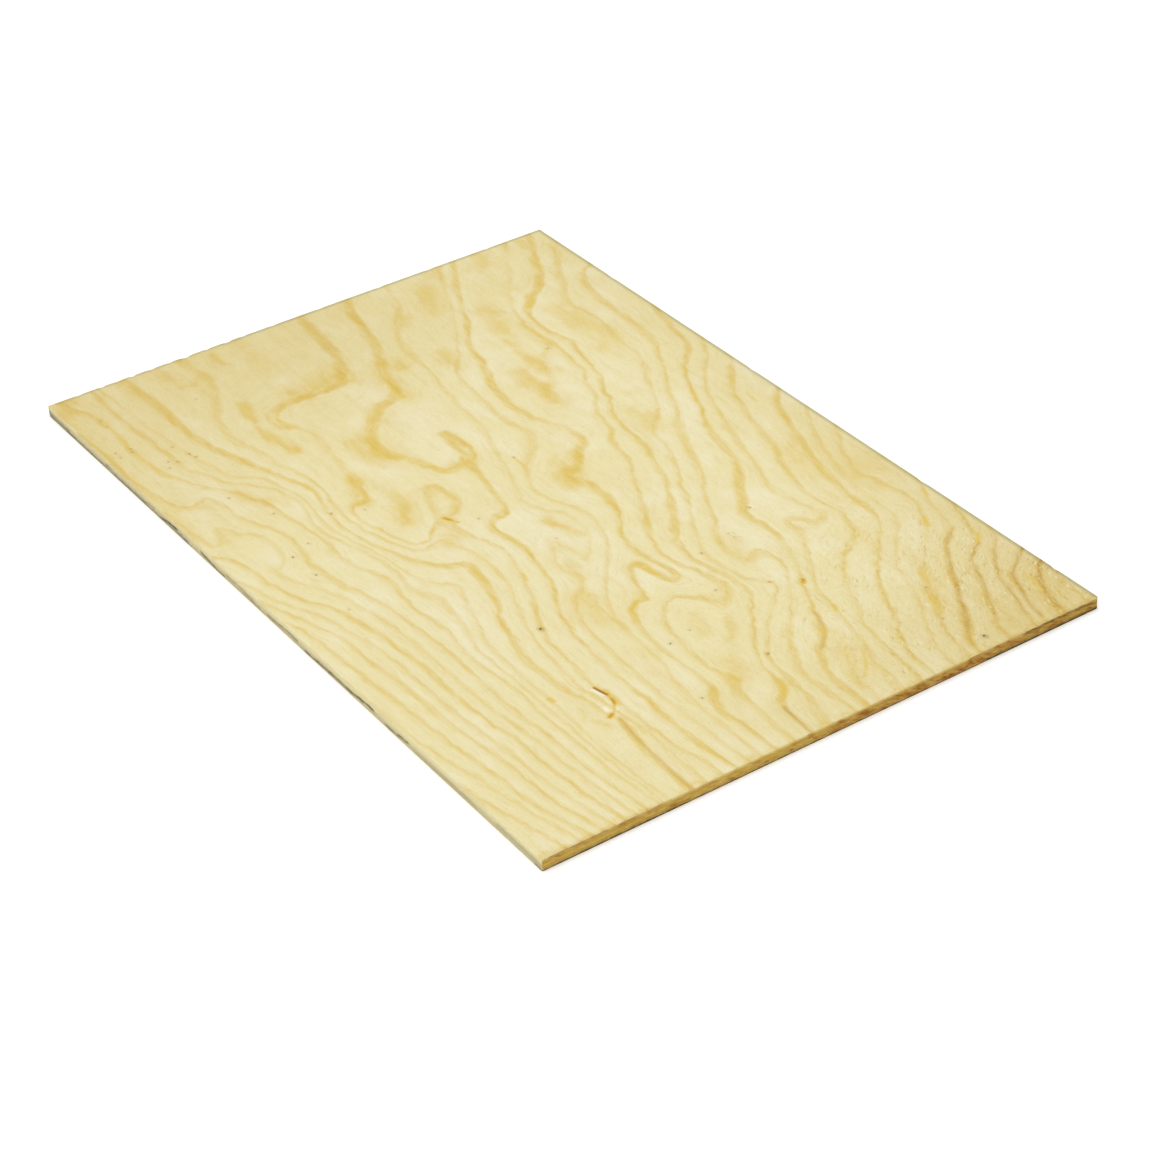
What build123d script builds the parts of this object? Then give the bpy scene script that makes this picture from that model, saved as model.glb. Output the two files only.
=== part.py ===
"""A five-ply softwood plywood panel, cut to size and lying flat with its face up.

Lengths are in millimetres. The origin is the middle of the underside: X runs along the
length, which is the way the face grain runs, Y across the width and Z up.
Each veneer is a solid of its own, and the glued veneers lie face to face.
"""

import os
from dataclasses import dataclass

from build123d import *

# The panel as it was sawn
panel_length = 900.0
panel_width = 600.0

# The veneers, from the floor up
back_thickness = 2.4
lower_crossband_thickness = 2.4
core_thickness = 2.4
upper_crossband_thickness = 2.4
face_thickness = 2.4

# Both faces have a lightly sanded arris, and each corner keeps its blunting inside that arris
arris_radius = 0.5
corner_blunting = 0.5
knocked_corner_blunting = 2.5

# The corners' radii as seen from above: the +X +Y corner has been knocked
corner_radius = arris_radius + corner_blunting
knocked_corner_radius = arris_radius + knocked_corner_blunting


@dataclass
class Veneer:
    """One ply of the layup, and which of its two rims the sander has eased."""

    name: str
    thickness: float
    eased_above: bool = False
    eased_below: bool = False


layup = [
    Veneer("back_veneer", back_thickness, eased_below=True),
    Veneer("lower_crossband", lower_crossband_thickness),
    Veneer("core_veneer", core_thickness),
    Veneer("upper_crossband", upper_crossband_thickness),
    Veneer("face_veneer", face_thickness, eased_above=True),
]


def toward_knocked_corner(vertex):
    """How far a vertex lies toward the knocked corner, for sorting."""
    return vertex.X + vertex.Y


def sawn_outline():
    """The panel from above: a rectangle with blunted corners, one of them knocked."""
    rectangle = Rectangle(panel_length, panel_width)
    crisp_corners = rectangle.vertices().sort_by(toward_knocked_corner)[:-1]
    blunted = fillet(crisp_corners, corner_radius)
    knocked_corner = blunted.vertices().sort_by(toward_knocked_corner)[-1]
    return fillet(knocked_corner, knocked_corner_radius)


def veneer_solid(veneer, outline, underside):
    """One veneer of the given outline, lying at the height of its underside, with its eased rims."""
    solid = extrude(Pos(Z=underside) * outline, veneer.thickness)
    if veneer.eased_above:
        solid = fillet(solid.faces().sort_by(Axis.Z)[-1].edges(), arris_radius)
    if veneer.eased_below:
        solid = fillet(solid.faces().sort_by(Axis.Z)[0].edges(), arris_radius)
    return solid


def stacked_veneers():
    """Every veneer by name, each lying on the one before it."""
    outline = sawn_outline()
    solids = {}
    underside = 0.0
    for veneer in layup:
        solids[veneer.name] = veneer_solid(veneer, outline, underside)
        underside += veneer.thickness
    return solids


os.makedirs("parts", exist_ok=True)
for name, solid in stacked_veneers().items():
    export_step(solid, f"parts/{name}.step")
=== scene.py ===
"""Dresses the five-ply plywood sheet: its grain figure, sawn edges, arris wear and the studio round it.

The file is laid out as a Blender add-on and run as a script. Blender's own lengths are metres.
Places on the face are written in millimetres from the back left corner,
the first along the length and the second across the width.
"""

import math
from typing import NamedTuple

import bpy
import numpy as np
from bpy.props import FloatProperty, FloatVectorProperty, IntProperty, PointerProperty
from bpy.types import Operator, Panel, PropertyGroup
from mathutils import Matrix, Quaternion, Vector


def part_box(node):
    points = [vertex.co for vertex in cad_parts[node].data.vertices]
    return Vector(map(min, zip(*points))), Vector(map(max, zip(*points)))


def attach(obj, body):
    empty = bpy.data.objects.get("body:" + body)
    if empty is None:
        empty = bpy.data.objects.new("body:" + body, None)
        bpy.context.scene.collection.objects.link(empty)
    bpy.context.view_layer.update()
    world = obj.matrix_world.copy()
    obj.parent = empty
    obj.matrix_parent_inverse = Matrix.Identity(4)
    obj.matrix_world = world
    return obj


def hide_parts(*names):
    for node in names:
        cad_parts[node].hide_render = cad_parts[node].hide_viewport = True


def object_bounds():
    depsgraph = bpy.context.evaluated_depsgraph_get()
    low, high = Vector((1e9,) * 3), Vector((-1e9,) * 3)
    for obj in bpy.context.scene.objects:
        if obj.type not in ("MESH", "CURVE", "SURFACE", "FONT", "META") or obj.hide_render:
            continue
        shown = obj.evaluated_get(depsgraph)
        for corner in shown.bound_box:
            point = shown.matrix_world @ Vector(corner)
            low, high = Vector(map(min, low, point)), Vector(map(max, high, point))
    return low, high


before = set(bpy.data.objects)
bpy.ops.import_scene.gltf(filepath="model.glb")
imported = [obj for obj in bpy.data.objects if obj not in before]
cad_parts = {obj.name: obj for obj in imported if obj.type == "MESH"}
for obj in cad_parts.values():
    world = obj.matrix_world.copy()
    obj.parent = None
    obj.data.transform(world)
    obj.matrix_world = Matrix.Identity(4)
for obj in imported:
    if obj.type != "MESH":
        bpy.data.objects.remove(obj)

bl_info = {
    "name": "Plywood Sheet",
    "version": (1, 0, 0),
    "blender": (4, 5, 0),
    "location": "View3D > Sidebar > Plywood",
    "description": "Builds the veneers of a plywood sheet, with their grain and sawn edges, and a studio",
    "category": "Object",
}

MILLIMETRE = 0.001
CAD_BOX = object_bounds()
SHEET_LENGTH_MM = (CAD_BOX[1].x - CAD_BOX[0].x) / MILLIMETRE
SHEET_WIDTH_MM = (CAD_BOX[1].y - CAD_BOX[0].y) / MILLIMETRE
SHEET_MIDDLE = np.array((SHEET_LENGTH_MM, SHEET_WIDTH_MM)) / 2


def srgb(red, green, blue):
    """A colour given as on a screen, 0 to 255 each, as the linear colour that Blender keeps."""
    shares = np.array((red, green, blue)) / 255
    linear = np.where(shares <= 0.04045, shares / 12.92, ((shares + 0.055) / 1.055) ** 2.4)
    return tuple(float(level) for level in linear)


# How dark a growth ring's late wood is, as a share of the full late wood colour
STRONG, CLEAR, MIDDLE, SOFT, FAINT = 0.9, 0.8, 0.65, 0.5, 0.4

# Growth rings on the face, counted from the front left edge: darkness, then points along the line
RING_LINES = (
    (MIDDLE, ((775, 0), (795, 3), (812, 6), (827, 9), (850, 15), (875, 20), (900, 25))),
    (FAINT, (
        (650, 1), (680, 3), (705, 4), (730, 8), (755, 12), (780, 18), (805, 21), (850, 29), (900, 40))),
    (MIDDLE, (
        (478, 0), (485, 3), (495, 6), (507, 9), (525, 11), (550, 12), (570, 14), (585, 16), (600, 17),
        (625, 18), (650, 20), (675, 22), (700, 23), (725, 25), (750, 28), (775, 31), (800, 33),
        (830, 34), (850, 38), (870, 43), (900, 51))),
    (MIDDLE, (
        (440, 0), (455, 5), (470, 10), (490, 18), (502, 20), (512, 23), (522, 27), (535, 30), (555, 31),
        (575, 31), (600, 34), (625, 36), (650, 37), (680, 38), (700, 39), (720, 41), (740, 43),
        (760, 46), (800, 49), (825, 50), (845, 52), (870, 56), (900, 62))),
    (FAINT, (
        (395, 0), (425, 7), (450, 14), (475, 25), (500, 35), (520, 39), (545, 43), (570, 48), (600, 50),
        (650, 50), (700, 52), (730, 54), (760, 58), (800, 59), (820, 61), (850, 64), (870, 68),
        (900, 73))),
    (STRONG, (
        (347, 0), (352, 5), (360, 11), (370, 15), (382, 18), (400, 20), (415, 20), (430, 24), (445, 28),
        (460, 32), (470, 36), (480, 44), (490, 48), (505, 52), (520, 55), (540, 58), (555, 61),
        (580, 62), (600, 64), (612, 66), (625, 66), (650, 64), (675, 65), (700, 66), (725, 68),
        (750, 72), (775, 73), (790, 72), (810, 74), (840, 76), (860, 78), (880, 81), (900, 84))),
    (FAINT, (
        (255, 0), (280, 3), (300, 4), (320, 7), (333, 12), (328, 18), (314, 23), (310, 31), (320, 37),
        (331, 41), (334, 48), (348, 55), (365, 58), (383, 56), (397, 50), (402, 42), (402, 37),
        (415, 37), (428, 41), (440, 46), (452, 53), (465, 58), (480, 63), (495, 67), (520, 72),
        (550, 76), (575, 77), (600, 78), (640, 78), (675, 79), (700, 79), (725, 81), (750, 84),
        (775, 86), (800, 85), (825, 88), (850, 90), (880, 93), (900, 95))),
    (MIDDLE, (
        (85, 0), (105, 3), (150, 3), (175, 2), (200, 4), (218, 8), (235, 11), (247, 15), (256, 22),
        (258, 30), (254, 40), (259, 48), (275, 52), (300, 53), (313, 57), (325, 62), (340, 68),
        (352, 73), (367, 75), (385, 73), (405, 70), (412, 67), (430, 70), (450, 72), (470, 75),
        (480, 80), (492, 83), (507, 86), (520, 88), (550, 91), (575, 93), (600, 95), (625, 95),
        (650, 94), (690, 93), (725, 94), (747, 96), (775, 97), (810, 97), (840, 99), (875, 103),
        (900, 105))),
    (MIDDLE, (
        (0, 12), (20, 17), (40, 26), (55, 29), (75, 31), (100, 31), (125, 28), (150, 29), (175, 30),
        (190, 33), (200, 38), (212, 43), (225, 47), (235, 53), (245, 61), (255, 69), (267, 74),
        (280, 80), (295, 86), (310, 89), (325, 90), (342, 93), (357, 95), (377, 97), (395, 98),
        (410, 97), (425, 96), (440, 98), (450, 101), (460, 106), (470, 110), (480, 112), (490, 112),
        (503, 110), (518, 107), (535, 105), (550, 108), (567, 110), (582, 112), (595, 110), (607, 107),
        (625, 106), (650, 107), (675, 109), (700, 112), (720, 111), (740, 109), (775, 111), (830, 111),
        (850, 113), (875, 116), (900, 118))),
    (FAINT, (
        (0, 50), (25, 48), (60, 47), (85, 48), (110, 50), (140, 52), (165, 54), (190, 55), (202, 58),
        (213, 63), (225, 68), (240, 73), (250, 81), (262, 92), (272, 100), (283, 106), (300, 110),
        (312, 113), (325, 112), (340, 108), (355, 104), (375, 104), (390, 107), (407, 112), (425, 117),
        (440, 120), (455, 124), (475, 124), (490, 122), (507, 121), (520, 124), (528, 130), (537, 133),
        (550, 132), (575, 129), (595, 125), (610, 120), (625, 117), (650, 117), (675, 118), (710, 118),
        (760, 118), (800, 118), (850, 119), (900, 122))),
    (FAINT, (
        (0, 57), (50, 59), (95, 61), (125, 65), (150, 67), (175, 70), (190, 73), (205, 77), (222, 80),
        (233, 84), (242, 91), (250, 101), (262, 108), (280, 112), (300, 117), (325, 118), (350, 114),
        (380, 113), (405, 118), (430, 124), (455, 128), (475, 130), (490, 132), (502, 136), (511, 141),
        (518, 148), (524, 154), (535, 156), (548, 151), (562, 145), (580, 142), (597, 137), (612, 131),
        (630, 128), (650, 127), (690, 126), (725, 126), (750, 126), (775, 125), (800, 123), (830, 123),
        (850, 124), (880, 126), (900, 127))),
    (STRONG, (
        (0, 83), (20, 86), (40, 88), (55, 90), (75, 91), (95, 90), (115, 89), (140, 89), (157, 91),
        (175, 94), (190, 99), (205, 103), (220, 107), (235, 112), (250, 117), (265, 121), (280, 127),
        (295, 132), (308, 134), (320, 132), (335, 128), (350, 125), (365, 123), (382, 123), (400, 125),
        (420, 129), (435, 135), (450, 140), (465, 145), (475, 152), (486, 158), (495, 165), (500, 173),
        (504, 181), (513, 184), (528, 182), (543, 180), (558, 175), (575, 170), (590, 162), (605, 156),
        (625, 152), (645, 146), (658, 142), (675, 143), (700, 144), (718, 144), (733, 147), (750, 151),
        (766, 153), (785, 157), (800, 157), (815, 154), (840, 151), (875, 150), (900, 150))),
    (FAINT, (
        (0, 150), (25, 152), (50, 156), (65, 154), (80, 150), (95, 143), (110, 136), (125, 128),
        (140, 122), (157, 120), (175, 119), (192, 122), (215, 129), (245, 131), (262, 136), (280, 140),
        (300, 142), (325, 140), (345, 135), (375, 134), (400, 137), (418, 143), (437, 148), (450, 153),
        (460, 165), (457, 178), (460, 187), (473, 192), (490, 197), (507, 200), (527, 198), (550, 196),
        (575, 188), (600, 178), (625, 170), (650, 164), (680, 160), (720, 157), (745, 160), (775, 163),
        (800, 166), (850, 166), (900, 165))),
    (CLEAR, (
        (0, 296), (40, 291), (80, 287), (95, 284), (110, 280), (125, 275), (140, 270), (150, 262),
        (154, 250), (153, 235), (152, 220), (151, 205), (150, 195), (153, 185), (158, 176), (168, 170),
        (178, 170), (187, 173), (196, 179), (208, 185), (225, 187), (240, 185), (257, 182), (277, 181),
        (292, 178), (307, 177), (330, 173), (350, 167), (357, 158), (353, 149), (365, 144), (385, 143),
        (405, 148), (425, 153), (440, 159), (449, 166), (449, 174), (440, 182), (433, 190), (428, 199),
        (415, 204), (400, 206), (387, 211), (376, 217), (369, 223), (372, 229), (384, 232), (400, 233),
        (412, 231), (420, 225), (427, 216), (434, 210), (446, 207), (458, 208), (472, 212), (486, 218),
        (503, 222), (520, 221), (535, 217), (550, 213), (565, 208), (580, 203), (592, 198), (603, 193),
        (618, 186), (635, 179), (655, 173), (690, 172), (730, 168), (745, 172), (765, 171), (785, 172),
        (825, 173), (850, 175), (875, 181), (900, 183))),
    (STRONG, (
        (0, 353), (15, 348), (30, 342), (50, 338), (75, 334), (95, 330), (118, 323), (137, 315),
        (152, 307), (170, 301), (190, 298), (204, 294), (211, 284), (214, 270), (220, 258), (231, 248),
        (244, 240), (255, 231), (268, 226), (282, 223), (296, 226), (309, 235), (325, 242), (342, 247),
        (355, 253), (358, 264), (352, 275), (340, 281), (320, 282), (300, 284), (293, 288), (297, 293),
        (315, 294), (335, 295), (350, 291), (358, 281), (370, 277), (385, 275), (400, 273), (415, 269),
        (430, 267), (445, 264), (458, 257), (456, 248), (462, 238), (470, 234), (485, 235), (500, 239),
        (515, 240), (530, 237), (545, 234), (560, 231), (575, 228), (587, 224), (600, 217), (615, 209),
        (630, 204), (645, 201), (660, 197), (680, 196), (700, 194), (725, 193), (750, 192), (775, 194),
        (800, 191), (840, 191), (875, 194), (900, 197))),
    (FAINT, (
        (0, 402), (25, 395), (50, 387), (75, 373), (90, 363), (103, 354), (120, 349), (145, 345),
        (175, 343), (200, 341), (215, 335), (240, 332), (265, 328), (300, 327), (322, 323), (345, 314),
        (365, 308), (385, 304), (400, 298), (418, 293), (432, 287), (445, 282), (460, 283), (475, 291),
        (488, 300), (502, 304), (520, 304), (537, 299), (552, 288), (562, 280), (568, 274), (553, 272),
        (538, 268), (531, 262), (540, 256), (552, 250), (570, 248), (588, 253), (600, 247), (608, 238),
        (615, 230), (630, 220), (650, 214), (675, 210), (725, 208), (775, 206), (850, 208),
        (900, 210))),
    (SOFT, (
        (0, 468), (30, 455), (60, 442), (85, 431), (108, 421), (118, 414), (135, 407), (150, 397),
        (165, 388), (178, 382), (188, 373), (205, 362), (235, 356), (260, 354), (280, 351), (300, 350),
        (320, 351), (345, 355), (362, 352), (373, 345), (384, 335), (393, 327), (401, 319), (410, 313),
        (418, 308), (430, 303), (445, 301), (460, 304), (475, 310), (488, 315), (505, 319), (520, 317),
        (535, 313), (550, 308), (563, 301), (577, 290), (590, 280), (603, 271), (615, 262), (630, 252),
        (645, 246), (660, 240), (680, 238), (710, 237), (740, 235), (765, 228), (800, 224), (850, 223),
        (900, 223))),
    (STRONG, (
        (0, 487), (10, 482), (25, 474), (50, 460), (75, 448), (100, 436), (125, 426), (142, 416),
        (155, 407), (170, 401), (200, 395), (215, 389), (230, 386), (240, 381), (250, 376), (270, 373),
        (290, 370), (310, 371), (325, 374), (340, 380), (350, 385), (362, 389), (378, 391), (392, 390),
        (402, 382), (412, 372), (424, 362), (434, 354), (440, 341), (452, 345), (468, 350), (490, 350),
        (510, 346), (525, 340), (540, 331), (553, 323), (570, 319), (590, 318), (605, 321), (625, 324),
        (640, 325), (645, 318), (637, 311), (622, 309), (608, 308), (602, 302), (609, 294), (626, 287),
        (642, 284), (655, 279), (652, 270), (658, 262), (668, 256), (684, 251), (700, 248), (725, 246),
        (750, 247), (775, 249), (796, 248), (805, 242), (818, 236), (835, 234), (855, 237),
        (900, 238))),
    (MIDDLE, (
        (0, 553), (20, 545), (45, 530), (70, 515), (85, 506), (105, 492), (125, 480), (150, 475),
        (170, 470), (190, 470), (215, 473), (230, 472), (245, 470), (265, 467), (280, 466), (292, 461),
        (305, 454), (320, 450), (335, 445), (345, 438), (357, 430), (375, 426), (392, 424), (402, 417),
        (412, 411), (430, 407), (450, 404), (462, 398), (475, 391), (490, 384), (505, 378), (520, 370),
        (535, 362), (550, 353), (565, 345), (580, 340), (595, 335), (612, 334), (630, 337), (640, 342),
        (655, 346), (675, 350), (687, 347), (697, 339), (705, 329), (693, 324), (680, 317), (670, 306),
        (665, 297), (672, 288), (683, 279), (697, 271), (715, 267), (745, 264), (770, 263), (790, 268),
        (803, 272), (808, 266), (818, 262), (850, 261), (875, 258), (900, 257))),
    (CLEAR, (
        (0, 585), (25, 574), (50, 562), (65, 553), (87, 544), (109, 528), (120, 512), (133, 501),
        (143, 491), (155, 485), (175, 482), (195, 483), (212, 487), (228, 490), (240, 484), (255, 482),
        (275, 478), (290, 475), (303, 472), (315, 466), (327, 459), (345, 455), (357, 448), (367, 442),
        (380, 438), (400, 434), (425, 432), (440, 432), (455, 426), (470, 420), (485, 416), (500, 411),
        (515, 403), (531, 396), (545, 388), (559, 380), (570, 373), (580, 365), (592, 358), (610, 353),
        (628, 351), (642, 354), (657, 358), (672, 361), (690, 361), (705, 359), (716, 353), (727, 344),
        (740, 335), (752, 326), (765, 317), (780, 309), (795, 302), (812, 300), (828, 298), (840, 292),
        (847, 284), (856, 279), (875, 277), (900, 276))),
    (SOFT, (
        (30, 600), (48, 591), (62, 583), (75, 575), (90, 566), (105, 558), (122, 551), (135, 543),
        (148, 536), (165, 534), (185, 537), (210, 538), (232, 535), (250, 530), (265, 528), (282, 529),
        (298, 526), (312, 520), (325, 515), (335, 508), (348, 501), (362, 495), (378, 488), (390, 482),
        (400, 474), (410, 464), (420, 454), (432, 450), (447, 448), (462, 444), (478, 437), (493, 430),
        (508, 423), (522, 415), (537, 410), (552, 402), (562, 396), (575, 388), (590, 381), (603, 374),
        (617, 368), (633, 364), (655, 367), (680, 369), (690, 377), (700, 386), (712, 383), (722, 374),
        (735, 361), (746, 347), (757, 339), (770, 331), (780, 321), (788, 314), (800, 310), (830, 308),
        (855, 306), (868, 302), (882, 297), (900, 295))),
    (MIDDLE, (
        (100, 600), (107, 588), (117, 579), (132, 571), (150, 567), (170, 564), (195, 562), (220, 562),
        (245, 560), (265, 558), (285, 555), (298, 548), (315, 538), (330, 532), (342, 526), (355, 517),
        (370, 509), (385, 503), (400, 498), (412, 490), (425, 482), (440, 474), (455, 467), (475, 459),
        (490, 454), (503, 449), (517, 442), (530, 434), (545, 425), (560, 418), (575, 411), (588, 406),
        (598, 398), (615, 388), (635, 384), (652, 387), (657, 393), (651, 402), (657, 410), (675, 413),
        (692, 409), (706, 400), (722, 391), (735, 382), (747, 371), (760, 361), (775, 349), (792, 338),
        (808, 330), (820, 324), (838, 321), (870, 323), (900, 324))),
    (STRONG, (
        (215, 600), (240, 593), (258, 591), (268, 587), (285, 584), (303, 581), (315, 575), (325, 565),
        (335, 555), (347, 546), (362, 537), (378, 531), (392, 524), (403, 519), (417, 516), (430, 508),
        (443, 501), (460, 496), (480, 492), (505, 487), (521, 481), (538, 472), (555, 461), (569, 451),
        (582, 443), (594, 436), (607, 434), (625, 438), (640, 437), (655, 434), (672, 428), (690, 421),
        (705, 414), (717, 407), (732, 400), (747, 395), (762, 387), (778, 381), (792, 375), (801, 366),
        (810, 357), (822, 349), (835, 342), (850, 338), (875, 338), (900, 337))),
    (SOFT, (
        (300, 600), (320, 590), (335, 583), (347, 573), (360, 562), (373, 553), (385, 544), (397, 537),
        (412, 532), (430, 526), (450, 520), (475, 511), (500, 503), (525, 497), (545, 491), (560, 485),
        (575, 479), (590, 479), (605, 484), (622, 488), (638, 494), (646, 489), (649, 478), (640, 471),
        (630, 463), (636, 456), (650, 459), (663, 452), (678, 443), (692, 436), (707, 427), (720, 419),
        (737, 411), (768, 405), (800, 398), (820, 394), (838, 388), (852, 382), (870, 379),
        (900, 376))),
    (MIDDLE, (
        (348, 600), (363, 593), (375, 585), (387, 575), (400, 566), (415, 558), (440, 550), (465, 541),
        (500, 534), (520, 529), (540, 520), (558, 512), (580, 507), (600, 502), (625, 503), (650, 506),
        (668, 501), (682, 498), (692, 490), (700, 476), (710, 462), (722, 452), (735, 443), (750, 435),
        (770, 427), (787, 418), (803, 410), (830, 405), (860, 401), (900, 397))),
    (STRONG, (
        (433, 600), (443, 590), (455, 580), (467, 575), (480, 571), (500, 563), (520, 557), (535, 552),
        (550, 547), (575, 540), (600, 535), (625, 532), (645, 531), (660, 532), (675, 529), (690, 521),
        (702, 511), (715, 500), (725, 489), (737, 479), (750, 469), (765, 460), (785, 450), (800, 444),
        (815, 437), (830, 427), (850, 418), (868, 413), (900, 411))),
    (FAINT, (
        (478, 600), (495, 589), (515, 579), (535, 570), (553, 563), (570, 558), (590, 553), (605, 548),
        (640, 545), (680, 543), (700, 534), (718, 517), (735, 503), (752, 491), (780, 481), (800, 475),
        (820, 463), (845, 449), (870, 438), (900, 432))),
    (MIDDLE, (
        (525, 600), (545, 587), (562, 577), (580, 570), (595, 563), (610, 562), (625, 568), (645, 570),
        (662, 574), (680, 572), (695, 566), (708, 559), (718, 552), (727, 546), (738, 536), (752, 524),
        (765, 512), (778, 500), (792, 492), (812, 484), (828, 475), (842, 465), (862, 458),
        (900, 451))),
    (STRONG, (
        (648, 600), (660, 594), (675, 588), (690, 582), (705, 578), (722, 574), (735, 569), (743, 560),
        (750, 549), (762, 541), (777, 531), (792, 522), (808, 513), (825, 501), (840, 494), (855, 485),
        (868, 475), (882, 466), (900, 463))),
    (MIDDLE, (
        (698, 600), (715, 594), (735, 587), (752, 581), (766, 573), (775, 560), (787, 548), (805, 540),
        (822, 533), (842, 520), (862, 511), (878, 502), (900, 497))),
    (MIDDLE, (
        (755, 600), (773, 590), (785, 578), (797, 569), (808, 559), (822, 551), (842, 546), (862, 539),
        (880, 533), (900, 527))),
    (CLEAR, ((798, 600), (810, 583), (825, 564), (840, 557), (856, 551), (872, 544), (900, 539))),
    (STRONG, ((823, 600), (832, 590), (842, 581), (852, 574), (864, 569), (875, 564), (900, 561))),
    (FAINT, ((845, 600), (855, 594), (870, 591), (900, 590))),
)

# Lines that run between two rings and hold them apart where they stand wide
BETWEEN_RINGS = (
    (-0.5, ((862, 8), (896, 9))),
    (8.4, ((2, 30), (20, 34))),
    (8.5, ((300, 100), (325, 101))),
    (8.5, ((425, 106), (462, 112))),
    (10.5, ((795, 139), (840, 137), (892, 138))),
    (12.6, ((268, 161), (340, 155))),
    (13.4, ((160, 204), (192, 198))),
    (13.3, ((305, 202), (375, 192))),
    (13.5, ((392, 182), (412, 176))),
    (14.4, ((250, 264), (335, 262))),
    (15.5, ((0, 436), (60, 413), (125, 380))),
    (17.5, ((212, 432), (260, 424), (312, 412))),
    (18.4, ((694, 306), (712, 318))),
    (19.5, ((158, 510), (235, 512))),
    (21.6, ((158, 592), (202, 590))),
    (27.5, ((566, 593), (634, 592))),
)

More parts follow.
